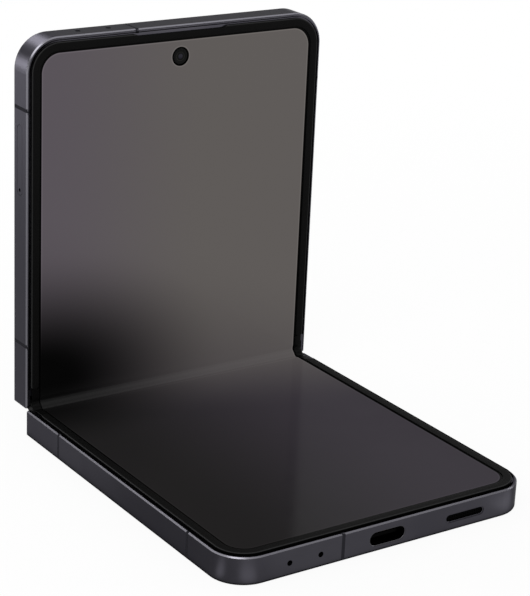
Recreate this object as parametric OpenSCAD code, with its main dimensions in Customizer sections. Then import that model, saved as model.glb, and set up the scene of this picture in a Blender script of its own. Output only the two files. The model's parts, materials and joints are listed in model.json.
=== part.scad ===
// Foldable phone: two halves on a twin-axis hinge, modelled half open at a right angle.
// Frame: the lower half lies flat with its back on z = 0, X runs along the hinge and the fold
// line is towards +Y. Each half is drawn in its own flat frame, with y = 0 at the fold line,
// y growing towards its free end and z = 0 on its back, and is then put in place.

/* [Body] */
// Width of the body, along the hinge
body_w = 75.2; // [70:0.1:85]
// Length of each half, from the fold line to its free end
half_l = 83.35; // [80:0.05:95]
// Height of a half up to the metal front face of its rail
rail_h = 6.05; // [5.6:0.05:7.5]
// Outer corner radius of the halves
corner_r = 7.5; // [6:0.1:10]
// Wall thickness of the rail
rail_w = 1.7; // [1.5:0.05:2.2]
// Wall thickness of the rail where it flanks the hinge
hinge_side_w = 2.6; // [2.4:0.05:3]
// Bevel along the front edge of the rail
front_bevel = 0.25; // [0.2:0.05:0.5]
// Radius along the back edge of the rail
back_edge_r = 0.6; // [0.4:0.1:1.2]
// Thickness of the back glass and of the cover glass
glass_t = 0.6; // [0.4:0.05:0.8]
// Width of the metal edge that shows round the back glass
glass_edge = 1.05; // [0.95:0.05:1.4]
// Width of the metal strip between the fold line and the back glass
hinge_strip = 3.6; // [3:0.1:5]
// Thickness of the plate under the display
plate_t = 0.6; // [0.5:0.05:0.8]

/* [Display] */
// Thickness of the folding display stack
display_t = 0.75; // [0.6:0.05:0.9]
// Height of the display surface above the metal front face
display_rise = 0.22; // [0.15:0.01:0.3]
// Distance from the fold line to where the display is bonded flat
fold_half = 6; // [5.9:0.1:8]
// Front radius of the folding strip of the display in the half open pose
fold_r = 2.05; // [1.6:0.05:2.4]
// Radius of the camera hole in the display
punch_r = 2; // [1.5:0.1:2.5]

/* [Bezel] */
// Height of the raised bezel above the metal front face
bezel_h = 0.45; // [0.4:0.05:0.8]
// Distance from the outer face of the rail to the bezel
bezel_inset = 0.5; // [0.4:0.05:0.7]
// Width of the bezel
bezel_w = 2.3; // [2:0.1:3]
// Distance from the fold line to the ends of the bezel
bezel_end = 4.5; // [4:0.1:6]
// Length of the earpiece gap in the outer edge of the bezel
earpiece_gap_l = 23.6; // [15:0.1:28]

/* [Hinge] */
// Distance between the two fold axes
axis_spacing = 1.7; // [1.7:0.05:2.2]
// Metal left under the spine in each half
trough_floor = 1; // [0.8:0.05:1.2]
// Running gap between the spine and the halves
spine_gap = 0.15; // [0.1:0.01:0.25]
// Depth of the spine below the fold axes
spine_depth = 3.2; // [3.2:0.05:3.5]
// Wall thickness of the spine
spine_wall = 0.4; // [0.3:0.05:0.5]
// Gap between the two halves when they lie flat
flat_gap = 0.1; // [0.06:0.01:0.2]
// Distance of each hinge module from the middle of the body
module_x = 21; // [18:0.5:24]
// Number of teeth on each synchronising gear
gear_teeth = 12; // [12:4:16]
// Pitch radius of the synchronising gears
gear_r = 0.9; // [0.85:0.01:0.9]
// Height of the gear teeth
tooth_h = 0.26; // [0.2:0.01:0.3]
// Thickness of the gears
gear_w = 1.2; // [0.8:0.1:1.4]
// Radius of the arm shafts
shaft_r = 0.34; // [0.3:0.01:0.4]
// Radius of the idler shafts
idler_shaft_r = 0.28; // [0.2:0.01:0.3]
// Running gap of the hinge bores, on the radius
bore_gap = 0.03; // [0.02:0.005:0.05]
// Reach of the gear arms from their shafts
arm_reach = 9; // [7.5:0.1:9.5]
// Thickness of the gear arms and the curved brackets
arm_t = 0.5; // [0.4:0.05:0.55]
// Inner radius of the curved bracket rails
rail_in_r = 1.75; // [1.6:0.05:1.8]
// Outer radius of the curved bracket rails
rail_out_r = 2.5; // [2.3:0.05:2.6]

/* [Keys and ports] */
// Length of the power key
power_l = 13; // [10:0.5:15]
// Distance from the fold line to the middle of the power key
power_y = 35; // [30:0.5:37]
// Length of the volume rocker
volume_l = 17; // [14:0.5:19]
// Distance from the fold line to the middle of the volume rocker
volume_y = 55; // [53:0.5:57]
// Height of the side keys
key_h = 2.4; // [2:0.1:2.8]
// Gap round the side keys and the card tray
key_gap = 0.08; // [0.05:0.01:0.12]
// Travel of the power key
key_travel = 0.25; // [0.2:0.01:0.3]
// Length of the card tray's face
tray_l = 15.5; // [14.5:0.1:17]
// Height of the card tray's face
tray_h = 2.2; // [1.8:0.1:2.4]
// Distance from the fold line to the middle of the card tray
tray_y = 56.5; // [56:0.1:59]
// Depth of the card tray
tray_d = 15; // [13:0.5:16]
// Width of the charging port
port_w = 9.1; // [9:0.05:9.6]
// Height of the charging port
port_h = 3.3; // [3.2:0.05:3.6]
// Length of the loudspeaker slot
slot_l = 10; // [7:0.5:12]
// Height of the loudspeaker slot
slot_h = 1.9; // [1.2:0.1:2.2]
// Distance of the loudspeaker slot from the middle
slot_x = 19.9; // [18:0.1:22]
// Radius of the microphone holes
mic_r = 0.6; // [0.4:0.05:0.8]

/* [Cameras] */
// Outer radius of the rear camera rings
ring_r = 6.6; // [6:0.1:7]
// Height of the rear camera rings above the cover glass
ring_h = 1.3; // [0.8:0.1:1.6]
// Width of the metal of the rear camera rings
ring_w = 1.1; // [0.8:0.1:1.4]
// Distance of the outer rear camera from the middle
camera_x = 24.5; // [24:0.1:26]
// Distance between the two rear cameras
camera_spacing = 16; // [15:0.5:18]
// Distance of the rear cameras from the free end
camera_end = 12.5; // [12:0.1:14]

/* [Hidden] */
$fn = 64;
// Small overlap that makes cuts and joins clean
e = 0.01;

graphite = "#4b4a51";
black = "#101012";
steel = "#9a9ca2";

// Angle between the halves in the modelled pose, where 180 is flat
rest_fold = 90;
// Turn of each half about its own axis in the modelled pose, counted from flat
half_turn = (180 - rest_fold) / 2;

half_w = body_w / 2;
axis_y = axis_spacing / 2;
hinge_y = half_l / 2;
// Middle height of the side face, for keys, ports and holes
mid_z = (rail_h - front_bevel) / 2;
display_top = rail_h + display_rise;
display_z = display_top - display_t;
glue = 0.02;
plate_z = display_z - glue - plate_t;
cavity_z = glass_t + glue;
display_inset = rail_w + 0.15;
// Gap between the display and what lies over its edge
lip_gap = 0.03;
ledge_w = 0.7;
ledge_t = 0.5;

spine_r = rail_h - trough_floor - spine_gap;
pocket_r = spine_r + spine_gap;
trough_wall = 0.9;
trough_y = axis_y + pocket_r + trough_wall;
spine_half_l = half_w - hinge_side_w - spine_gap;
spine_floor = spine_depth - spine_wall;
// Level of the gears below the fold axes, just clear of the spine's floor
gear_level = spine_floor - gear_r - tooth_h / 2 - 0.05;
shaft_y = 3 * gear_r;
idler_y = gear_r;
hub_r = gear_r - tooth_h / 2;
arm_w = 3;
rail_part_w = 2.8;
rail_gap = 0.1;
module_end = 9.6;
bracket_level = 1.45;
cap_r = 1.9;
cap_gap = 0.15;
cap_t = 0.65;
cap_wall = 0.95;

antenna_w = 0.8;
antenna_d = glass_edge - 0.05;
antenna_y = 14.3;
antenna_far_y = 67.6;
antenna_x = -11.4;
mic_x = [-23.8, -16.4];
mic_depth = 6;
board_t = 0.8;
screw_r = 0.7;
screw_head_r = 1.3;
screw_head_h = 0.5;
magnet_l = 5.5;
magnet_w = 1.8;
magnet_t = 1.1;
magnet_x = half_w - corner_r + 1.4 - magnet_l;
// Distance from the free end to the inner edge of each circuit board, and to its outer edge
sub_reach = 23;
sub_margin = 5.2;
main_reach = 34;
main_margin = 4.2;
// Distance from the side of the rail to the boards
board_side = 1.5;
// Length of the hinge brackets' plates past the trough, and the room kept for them
bracket_l = 5;
bracket_room = bracket_l + 2;
// Thickness of the cover display, and height of the charging coil
cover_t = 0.55;
rocker_pin_r = 0.25;
rocker_pin_seat = 0.6;

// Places the flat frame of the lower half
module on_lower() {
    translate([0, hinge_y, 0]) mirror([0, 1, 0]) children();
}

// Turns about a line along X through y and z
module turned(y, z, angle) {
    translate([0, y, z]) rotate([angle, 0, 0]) translate([0, -y, -z]) children();
}

// Places the frame of the spine, which has its own y = 0 between the two fold axes
module on_spine() {
    translate([0, hinge_y, 0]) turned(-axis_y, rail_h, half_turn) children();
}

// Places the flat frame of the upper half
module on_upper() {
    on_spine() turned(axis_y, rail_h, half_turn) children();
}

module both_sides() {
    children();
    mirror([1, 0, 0]) children();
}

// Flat outline of a half, set in from its outer faces and starting at y0
module half_outline(inset, y0) {
    w = half_w - inset;
    y1 = half_l - inset;
    r = max(corner_r - inset, 0.3);
    translate([-w, y0]) square([2 * w, y1 - r - y0]);
    translate([r - w, y0]) square([2 * (w - r), y1 - y0]);
    for (side = [-1, 1])
        translate([side * (w - r), y1 - r]) circle(r);
}

// Runs a profile round the two sides and the free end of a half. The profile's x is the
// distance in from the outer face and its y is the height.
module round_the_half(y0) {
    both_sides() {
        translate([-half_w, half_l - corner_r, 0])
            rotate([90, 0, 0]) linear_extrude(half_l - corner_r - y0) children();
        translate([half_w - corner_r, half_l - corner_r, 0])
            rotate_extrude(angle = 90) translate([corner_r, 0]) mirror([1, 0]) children();
    }
    translate([corner_r - half_w, half_l, 0]) mirror([0, 1, 0])
        rotate([90, 0, 90]) linear_extrude(body_w - 2 * corner_r) children();
}

// Section of the rail: bevelled in front and rounded at the back
module rail_profile(w) {
    difference() {
        square([w, rail_h]);
        polygon([[-e, rail_h + e], [-e, rail_h - front_bevel], [front_bevel, rail_h + e]]);
        difference() {
            translate([-e, -e]) square(back_edge_r + e);
            translate([back_edge_r, back_edge_r]) circle(back_edge_r);
        }
    }
}

module along_x(x0, x1) {
    translate([x0, 0, 0]) rotate([90, 0, 90]) linear_extrude(x1 - x0) children();
}

module rod(x0, x1, y, z, r) {
    translate([x0, y, z]) rotate([0, 90, 0]) cylinder(h = x1 - x0, r = r);
}

// Slot with round ends that runs along X, cut or filled from its middle
module stadium(l, h) {
    for (side = [-1, 1])
        translate([side * (l - h) / 2, 0]) circle(h / 2);
    square([l - h, h], center = true);
}

// Where the hinge modules lie along X, each seen from its outer end inwards
module at_modules() {
    translate([module_x, 0, 0]) children();
    mirror([1, 0, 0]) translate([module_x, 0, 0]) children();
}

// Boxes where the polymer breaks cross the rail of a half
module antenna_slabs(far) {
    both_sides() {
        translate([-half_w - 1, antenna_y, -1]) cube([antenna_d + 1, antenna_w, rail_h + 2]);
        if (far)
            translate([-half_w - 1, antenna_far_y, -1]) cube([antenna_d + 1, antenna_w, rail_h + 2]);
    }
    translate([antenna_x, half_l - antenna_d, -1]) cube([antenna_w, antenna_d + 1, rail_h + 2]);
}

module antenna_breaks(far) {
    intersection() {
        antenna_slabs(far);
        round_the_half(flat_gap / 2) rail_profile(rail_w);
    }
}

// Frame that both halves share: rail, plate under the display and trough for the spine
module half_frame(far) {
    difference() {
        union() {
            round_the_half(flat_gap / 2) rail_profile(rail_w);
            translate([0, 0, plate_z])
                linear_extrude(plate_t) half_outline(rail_w - 0.2, trough_y - trough_wall);
            hinge_trough();
        }
        antenna_slabs(far);
        both_sides() end_cap_notch();
        // room for the glass, set into the back
        translate([0, 0, -1]) linear_extrude(glass_t + 1) half_outline(glass_edge, hinge_strip);
    }
    glass_ledge();
}

// Ledge inside the rail that carries the edge of the glass
module glass_ledge() {
    translate([0, 0, cavity_z - glue]) linear_extrude(ledge_t) difference() {
        half_outline(rail_w - 0.1, trough_y - trough_wall);
        half_outline(rail_w + ledge_w, trough_y + ledge_w);
    }
}

// Block at the fold line with the round pocket that the spine turns in
module hinge_trough() {
    difference() {
        union() {
            along_x(e - spine_half_l - spine_gap, spine_half_l + spine_gap - e)
                translate([flat_gap / 2, 0]) square([trough_y - flat_gap / 2, plate_z + plate_t]);
            both_sides()
                translate([half_w - hinge_side_w, flat_gap / 2, 0])
                    cube([hinge_side_w - rail_w / 2, trough_y - flat_gap / 2, plate_z + plate_t]);
        }
        rod(-spine_half_l - spine_gap, spine_half_l + spine_gap, axis_y, rail_h, pocket_r);
        at_modules() {
            arm_window();
            bracket_window();
        }
    }
}

// Opening in the trough wall that a gear arm slides through
module arm_window() {
    swing = norm([shaft_y - axis_y, gear_level]) - gear_level;
    top = rail_h - gear_level + arm_t / 2 + 0.15;
    bottom = rail_h - gear_level - arm_t / 2 - swing - 0.15;
    translate([-0.15, axis_y, bottom]) cube([arm_w + 0.3, trough_y, top - bottom]);
}

// Opening in the trough wall that the two curved brackets pass through
module bracket_window() {
    z = rail_h - bracket_level - arm_t / 2;
    translate([-2 * rail_part_w - 3 * rail_gap, axis_y, z - e])
        cube([2 * rail_part_w + 3 * rail_gap, trough_y, plate_z - z + e]);
}

// Round notch beside the display that clears the end cap of the spine
module end_cap_notch() {
    rod(spine_half_l, half_w - cap_wall, axis_y, rail_h, cap_r + cap_gap);
}

// Section of the bezel: a foot on the rail and a lip over the edge of the display
module bezel_profile() {
    lip_z = display_top + lip_gap;
    top = rail_h + bezel_h;
    edge = 0.12;
    polygon([
        [bezel_inset, rail_h], [rail_w, rail_h], [rail_w, lip_z], [bezel_inset + bezel_w, lip_z],
        [bezel_inset + bezel_w, top - edge], [bezel_inset + bezel_w - edge, top],
        [bezel_inset + 2 * edge, top], [bezel_inset, top - 2 * edge]
    ]);
}

module bezel() {
    color(black) difference() {
        round_the_half(bezel_end) bezel_profile();
        // the ends are rounded off in plan
        both_sides() bezel_end_cut();
        children();
    }
}

module bezel_end_cut() {
    r = bezel_w / 3;
    x = half_w - bezel_inset;
    translate([x - r, bezel_end, rail_h - 1]) difference() {
        translate([0, -1, 0]) cube([r + 1, r + 1, bezel_h + 2]);
        translate([0, r, -1]) cylinder(h = bezel_h + 4, r = r);
    }
}

// Gap along the outer edge of the bezel, with slanted ends, that lets sound out
module earpiece_gap() {
    d = 0.45;
    translate([0, half_l - bezel_inset, rail_h - 1]) linear_extrude(bezel_h + 2)
        polygon([
            [-earpiece_gap_l / 2, 1], [-earpiece_gap_l / 2 + 1.2, -d],
            [earpiece_gap_l / 2 - 1.2, -d], [earpiece_gap_l / 2, 1]
        ]);
}

module display_half() {
    color(black) difference() {
        translate([0, 0, display_z]) linear_extrude(display_t) half_outline(display_inset, fold_half);
        children();
    }
}

// Bracket of a half at one side of a module: a plate and a rail curved about the fold axis
module curved_bracket(x0) {
    plate_end = trough_y + bracket_l;
    z0 = rail_h - bracket_level - arm_t / 2;
    rail_start = asin((bracket_level + arm_t / 2) / rail_out_r);
    along_x(x0, x0 + rail_part_w) {
        difference() {
            translate([axis_y, z0]) square([plate_end - axis_y, arm_t]);
            translate([axis_y, rail_h]) circle((rail_in_r + rail_out_r) / 2);
        }
        intersection() {
            translate([axis_y, rail_h]) difference() {
                circle(rail_out_r);
                circle(rail_in_r);
            }
            // from the plate to just past the point under the axis
            translate([axis_y, rail_h])
                polygon([
                    [0, 0],
                    [4 * cos(rail_start - 6), -4 * sin(rail_start - 6)],
                    [4, -4],
                    [0, -4],
                    [-4 * sin(22), -4 * cos(22)]
                ]);
        }
    }
}

// Brackets of one half. The two halves use the two different lanes of each module.
module hinge_brackets(lane) {
    x0 = lane == 0 ? -2 * rail_part_w - 2 * rail_gap : -rail_part_w - rail_gap;
    foot_z = rail_h - bracket_level + arm_t / 2;
    color(steel) at_modules() {
        difference() {
            union() {
                curved_bracket(x0);
                // foot that the plate of the half is screwed to
                translate([-2 * rail_part_w, trough_y + 0.3, foot_z - arm_t])
                    cube([2 * rail_part_w, 4.7, plate_z - foot_z + arm_t]);
            }
            bracket_screw_places() translate([0, 0, plate_z - 3]) cylinder(h = 4, r = screw_r);
        }
    }
}

module bracket_screw_places() {
    for (x = [-2 * rail_part_w + 1.5, -1.5])
        translate([x, trough_y + 3, 0]) children();
}

module screw(z) {
    translate([0, 0, z]) {
        difference() {
            translate([0, 0, -screw_head_h]) cylinder(h = screw_head_h, r = screw_head_r);
            translate([0, 0, -screw_head_h - e]) cylinder(h = 0.25, r = 0.55, $fn = 6);
        }
        cylinder(h = plate_z + plate_t - z - 0.1, r = screw_r - 0.02);
    }
}

// Puts a screw or its hole at each of a list of places
module at_places(places) {
    for (place = places)
        translate([place[0], place[1], 0]) children();
}

module magnet_pair() {
    color(steel) both_sides()
        translate([magnet_x, half_l - rail_w - 0.4 - magnet_w, plate_z - magnet_t])
            cube([magnet_l, magnet_w, magnet_t]);
}

// ---- lower half

// The sub board and what hangs from it
sub_y0 = half_l - sub_reach;
sub_y1 = half_l - sub_margin;
board_z = plate_z - 0.35 - board_t;
screw_x = half_w - rail_w - 4.5;
sub_screws = [for (x = [-screw_x, screw_x], y = [sub_y0 + 2, sub_y1 - 2]) [x, y]];

module speaker_slot(extra, depth) {
    translate([slot_x, half_l + 1, mid_z]) rotate([90, 0, 0])
        linear_extrude(depth + 1) stadium(slot_l + extra, slot_h + extra);
}

module mic_holes() {
    for (x = mic_x)
        translate([x, half_l + 1, mid_z]) rotate([90, 0, 0]) cylinder(h = rail_w + 2, r = mic_r, $fn = 32);
}

module screw_holes(places) {
    at_places(places) translate([0, 0, plate_z - 2]) cylinder(h = plate_t + 1.9, r = screw_r);
    at_modules() bracket_screw_places()
        translate([0, 0, plate_z - 2]) cylinder(h = plate_t + 1.9, r = screw_r);
}

module lower_frame() {
    color(graphite) on_lower() {
        difference() {
            half_frame(false);
            translate([0, half_l + 1, mid_z]) rotate([90, 0, 0])
                linear_extrude(rail_w + 2) stadium(port_w, port_h);
            speaker_slot(0, rail_w + 1);
            mic_holes();
            screw_holes(sub_screws);
        }
    }
}

module lower_antenna_breaks() {
    color("#3a3a40") on_lower() antenna_breaks(false);
}

module back_glass() {
    color(graphite) on_lower()
        linear_extrude(glass_t) half_outline(glass_edge + 0.04, hinge_strip + 0.04);
}

module lower_bezel() {
    on_lower() bezel();
}

module display_lower() {
    on_lower() display_half();
}

battery_gap = 1.4;
battery_z = cavity_z + cover_t + glue;
lower_battery_y0 = trough_y + bracket_room;

module battery(w, y0, y1) {
    h = plate_z - 0.15 - battery_z;
    r = 1.2;
    color("#2b2d31") translate([-w, y0, battery_z]) {
        along_x(0, 2 * w) {
            translate([0, r]) square([y1 - y0, h - 2 * r]);
            translate([r, 0]) square([y1 - y0 - 2 * r, h]);
            for (y = [r, y1 - y0 - r])
                for (z = [r, h - r])
                    translate([y, z]) circle(r);
        }
    }
}

module lower_battery() {
    on_lower() battery(half_w - rail_w - battery_gap - 3, lower_battery_y0, sub_y0 - 1);
}

coil_y = (lower_battery_y0 + sub_y0) / 2;
coil_out = 20;
coil_in = 9;
coil_turns = 6;

module charging_coil() {
    pitch = (coil_out - coil_in) / coil_turns;
    film_t = 0.2;
    color("#b8733a") on_lower() translate([0, coil_y, cavity_z]) {
        // carrier film with the windings standing on it
        difference() {
            cylinder(h = film_t, r = coil_out + 0.6);
            translate([0, 0, -e]) cylinder(h = 1, r = coil_in - 0.6);
        }
        for (turn = [0 : coil_turns - 1])
            translate([0, 0, film_t - e]) difference() {
                cylinder(h = cover_t - film_t, r = coil_in + (turn + 0.8) * pitch);
                translate([0, 0, -e]) cylinder(h = 1, r = coil_in + (turn + 0.1) * pitch);
            }
    }
}

module sub_board() {
    color("#1f5a3a") on_lower() difference() {
        translate([0, 0, board_z]) linear_extrude(board_t) difference() {
            translate([-half_w + rail_w + board_side, sub_y0])
                square([body_w - 2 * (rail_w + board_side), sub_y1 - sub_y0]);
            // room for the charging port's shell
            translate([-port_w / 2 - 0.6, half_l - 11]) square([port_w + 1.2, 12]);
        }
        at_places(sub_screws) translate([0, 0, board_z - 1]) cylinder(h = 3, r = screw_r);
    }
}

// Open metal shell with a contact tongue, behind the port in the rail
module usb_c_socket() {
    shell_w = port_w - 0.16;
    shell_h = port_h - 0.16;
    wall = 0.32;
    depth = 8;
    face_y = half_l - 0.45;
    color(steel) on_lower() translate([0, face_y, mid_z]) rotate([90, 0, 0]) {
        difference() {
            linear_extrude(depth) stadium(shell_w, shell_h);
            translate([0, 0, -1]) linear_extrude(depth) stadium(shell_w - 2 * wall, shell_h - 2 * wall);
        }
        translate([-3.35, -0.35, 1]) cube([6.7, 0.7, depth - 1.5]);
        // lugs that are soldered under the board
        for (side = [-1, 1])
            translate([side * (shell_w / 2 + 0.4) - 0.9, 0, depth - 4.5])
                cube([1.8, board_z - mid_z, 3]);
    }
}

speaker_y0 = sub_y0 + 1;
speaker_y1 = half_l - rail_w - ledge_w - 0.1;

module loudspeaker() {
    w = slot_l + 3;
    h = board_z - cavity_z - 0.3;
    color("#242428") on_lower() difference() {
        union() {
            translate([slot_x - w / 2, speaker_y0, cavity_z + 0.3]) cube([w, speaker_y1 - speaker_y0, h]);
            // nozzle that seals against the rail
            translate([slot_x, half_l - rail_w, mid_z]) rotate([90, 0, 0])
                linear_extrude(ledge_w + 0.5) stadium(slot_l + 1, slot_h + 0.7);
        }
        // sound channel that opens to the slot in the rail
        translate([slot_x, half_l, mid_z]) rotate([90, 0, 0])
            linear_extrude(rail_w + 4) stadium(slot_l, slot_h);
    }
}

module speaker_mesh() {
    color(black) on_lower()
        translate([slot_x, half_l - 0.5, mid_z]) rotate([90, 0, 0]) linear_extrude(0.25) difference() {
            stadium(slot_l, slot_h);
            for (i = [-7 : 7])
                for (j = [-1 : 1])
                    translate([i * slot_l / 17, j * slot_h / 4]) circle(slot_h / 12, $fn = 16);
        }
}

module vibration_motor() {
    w = 9;
    l = 11;
    h = board_z - cavity_z - 0.3;
    color(steel) on_lower() translate([-half_w + rail_w + 7, sub_y0 + 1.5, cavity_z + 0.3]) {
        translate([0, 0, 0.4]) cube([w, l, h - 0.4]);
        translate([0.6, 0.6, 0]) cube([w - 1.2, l - 1.2, 0.5]);
    }
}

// Microphone cans that hang from a board behind their holes
module microphone_cans() {
    for (x = mic_x)
        translate([x - 1.3, half_l - mic_depth, board_z - 1.1]) cube([2.6, mic_depth - rail_w - 1.2, 1.1]);
}

module lower_microphones() {
    color(steel) on_lower() microphone_cans();
}

module lower_hinge_brackets() {
    on_lower() hinge_brackets(0);
}

module lower_screws() {
    color(steel) on_lower() half_screws(sub_screws);
}

module half_screws(places) {
    at_places(places) screw(board_z);
    at_modules() bracket_screw_places() screw(rail_h - bracket_level - arm_t / 2);
}

module lower_magnets() {
    on_lower() magnet_pair();
}

// ---- upper half

main_y0 = half_l - main_reach;
main_y1 = half_l - main_margin;
// the one beside the card tray stands further in
main_screws = [
    [screw_x, main_y0 + 2], [tray_d + 4.4 - half_w, main_y0 + 2],
    [screw_x, main_y1 - 2], [-screw_x, main_y1 - 2]
];
camera_y = half_l - camera_end;
camera_xs = [camera_x, camera_x - camera_spacing];
hole_r = ring_r - 0.4;
flash_x = camera_x - camera_spacing / 2;
flash_y = camera_y - 8;
flash_r = 1.6;
flash_pad = 4.4;
front_y = half_l - 7.05;
cover_z = cavity_z;

module camera_holes(z0, z1, extra) {
    for (x = camera_xs)
        translate([x, camera_y, z0]) cylinder(h = z1 - z0, r = hole_r + extra);
    translate([flash_x, flash_y, z0]) cylinder(h = z1 - z0, r = flash_r + extra, $fn = 32);
}

module key_slot(y, l, gap) {
    translate([half_w + 1, y, mid_z]) rotate([0, -90, 0]) rotate([0, 0, 90])
        linear_extrude(rail_w + 2) stadium(l + 2 * gap, key_h + 2 * gap);
}

module tray_slot() {
    translate([-half_w - 1, tray_y, mid_z]) rotate([0, 90, 0]) rotate([0, 0, 90])
        linear_extrude(rail_w + 2) stadium(tray_l + 2 * key_gap, tray_h + 2 * key_gap);
}

module upper_frame() {
    color(graphite) on_upper() difference() {
        half_frame(true);
        key_slot(power_y, power_l, key_gap);
        key_slot(volume_y, volume_l, key_gap);
        rocker_axle(rocker_pin_r + glue, key_h + 2 * rocker_pin_seat + glue);
        tray_slot();
        mic_holes();
        screw_holes(main_screws);
        // front camera and rear cameras reach through the plate
        translate([0, front_y, plate_z - 1]) cylinder(h = 3, r = punch_r + 0.6);
    }
}

module upper_antenna_breaks() {
    color("#3a3a40") on_upper() antenna_breaks(true);
}

module cover_glass() {
    color("#0b0b0d") on_upper() difference() {
        linear_extrude(glass_t) half_outline(glass_edge + 0.04, hinge_strip + 0.04);
        camera_holes(-1, 1, 0.05);
    }
}

module cover_display() {
    inset = glass_edge + 2.3;
    color("#17181c") on_upper() difference() {
        translate([0, 0, cover_z]) linear_extrude(cover_t) half_outline(inset, trough_y + 1.5);
        camera_holes(0, 2, 0.6);
    }
}

module upper_bezel() {
    on_upper() bezel() earpiece_gap();
}

module display_upper() {
    on_upper() display_half()
        translate([0, front_y, 0]) cylinder(h = rail_h + 2, r = punch_r);
}

module upper_battery() {
    end = min(main_y0, tray_y - tray_l / 2) - 1;
    on_upper() battery(half_w - rail_w - battery_gap - 1.5, trough_y + bracket_room, end);
}

module board_cut(r) {
    for (x = camera_xs)
        translate([x, camera_y]) circle(r);
    translate([0, front_y]) circle(punch_r + 1);
}

module main_board() {
    color("#1f5a3a") on_upper() difference() {
        translate([0, 0, board_z]) linear_extrude(board_t) difference() {
            translate([-half_w + rail_w + board_side, main_y0])
                square([body_w - 2 * (rail_w + board_side), main_y1 - main_y0]);
            board_cut(hole_r + 0.3);
        }
        at_places(main_screws) translate([0, 0, board_z - 1]) cylinder(h = 3, r = screw_r);
    }
}

can_h = 1.3;
can_wall = 0.25;
can_margin = 1.5;
chip_can_w = 27;
chip_can_x = 2;
radio_can_w = 14;
radio_can_l = 13;
radio_can_x = -3 - radio_can_w;

module shield_can(x, y, w, l) {
    translate([x, y, board_z - can_h]) difference() {
        cube([w, l, can_h]);
        translate([can_wall, can_wall, can_wall]) cube([w - 2 * can_wall, l - 2 * can_wall, can_h]);
    }
}

// Sheet metal cans over the chips, on the back of the main board
module shield_cans() {
    chip_can_l = flash_y - flash_pad / 2 - 0.4 - main_y0 - can_margin;
    color(steel) on_upper() {
        shield_can(chip_can_x, main_y0 + can_margin, chip_can_w, chip_can_l);
        shield_can(radio_can_x, camera_y - 10, radio_can_w, radio_can_l);
    }
}

module rear_cameras() {
    barrel_r = hole_r - 1.9;
    color("#1b1b1e") on_upper()
        for (x = camera_xs)
            translate([x, camera_y, 0]) {
                translate([0, 0, -ring_h + 0.5]) cylinder(h = plate_z + ring_h - 0.6, r = barrel_r);
                translate([0, 0, cover_z + cover_t + 0.1])
                    cylinder(h = plate_z - cover_z - cover_t - 0.2, r = hole_r);
            }
}

// Metal ring with an inward lip round each rear camera
module camera_rings() {
    color(graphite) on_upper()
        for (x = camera_xs)
            translate([x, camera_y, 0]) rotate_extrude()
                polygon([
                    [ring_r - ring_w, glass_t], [hole_r, glass_t], [hole_r, 0], [ring_r, 0],
                    [ring_r, -ring_h + 0.35], [ring_r - 0.35, -ring_h],
                    [ring_r - ring_w + 0.15, -ring_h], [ring_r - ring_w, -ring_h + 0.15]
                ]);
}

module camera_lenses() {
    color("#08080a") on_upper()
        for (x = camera_xs)
            translate([x, camera_y, -ring_h + 0.1]) cylinder(h = 0.4, r = ring_r - ring_w);
}

module flash_led() {
    color("#efe8c8") on_upper()
        translate([flash_x, flash_y, 0]) {
            cylinder(h = cover_z + cover_t + 0.4, r = flash_r, $fn = 32);
            translate([-flash_pad / 2, -flash_pad / 2, cover_z + cover_t + 0.1])
                cube([flash_pad, flash_pad, board_z - cover_z - cover_t - 0.1]);
        }
}

module front_camera() {
    color("#08080a") on_upper() translate([0, front_y, 0]) {
        translate([0, 0, board_z - 1]) cylinder(h = display_top - board_z + 0.9, r = punch_r - 0.25);
        translate([-2.6, -2.6, cover_z + cover_t + 0.2])
            cube([5.2, 5.2, board_z - cover_z - cover_t - 0.2]);
    }
}

module earpiece() {
    w = 11;
    l = 2.2;
    color("#242428") on_upper()
        translate([3.6, half_l - rail_w - 0.3 - l, cover_z + cover_t + 0.2])
            cube([w, l, board_z + board_t - cover_z - cover_t - 0.2]);
}

module upper_microphones() {
    color(steel) on_upper() microphone_cans();
}

switch_gap = 0.05;
flange_t = 0.3;
flex_t = 0.25;
tab_l = 5;
tab_lap = 0.8;

// Flexible circuit along the right rail with a dome switch behind each press point
module side_key_flex() {
    x1 = half_w - rail_w - 0.1 - flange_t - key_travel - switch_gap;
    color("#c8742c") on_upper() {
        translate([x1 - 0.7, power_y - power_l / 2, mid_z - 1])
            cube([flex_t, volume_y - power_y + (power_l + volume_l) / 2, 2]);
        // tab that is soldered under the main board
        translate([half_w - rail_w - board_side - tab_lap, main_y0 + 4, board_z - flex_t - e])
            cube([x1 - 0.7 - half_w + rail_w + board_side + tab_lap + flex_t, tab_l, flex_t]);
        for (y = [power_y, volume_y - volume_l / 3, volume_y + volume_l / 3])
            translate([x1 - 0.46, y, mid_z]) rotate([0, 90, 0]) cylinder(h = 0.46, r = 0.9, $fn = 32);
    }
}

// Key cap in its slot, with a flange inside the wall that keeps it in
module side_key(y, l, flange_l) {
    color(graphite) on_upper() {
        translate([half_w - 0.05, y, mid_z]) rotate([0, -90, 0]) rotate([0, 0, 90])
            linear_extrude(rail_w + 0.1) stadium(l, key_h);
        translate([half_w - rail_w - 0.1 - flange_t, y - flange_l / 2, mid_z - key_h / 2 - 0.4])
            cube([flange_t, flange_l, key_h + 0.8]);
    }
}

module power_key() {
    side_key(power_y, power_l, power_l + 0.8);
}

// Round pin across the slot that the volume rocker turns on, or its bore
module rocker_axle(r, h) {
    translate([half_w - rail_w / 2, volume_y, mid_z - h / 2]) cylinder(h = h, r = r, $fn = 32);
}

module rocker_pin() {
    color(steel) on_upper() rocker_axle(rocker_pin_r, key_h + 2 * rocker_pin_seat);
}

module volume_rocker() {
    difference() {
        side_key(volume_y, volume_l, 5);
        on_upper() rocker_axle(rocker_pin_r + bore_gap, key_h + 1);
    }
}

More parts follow.
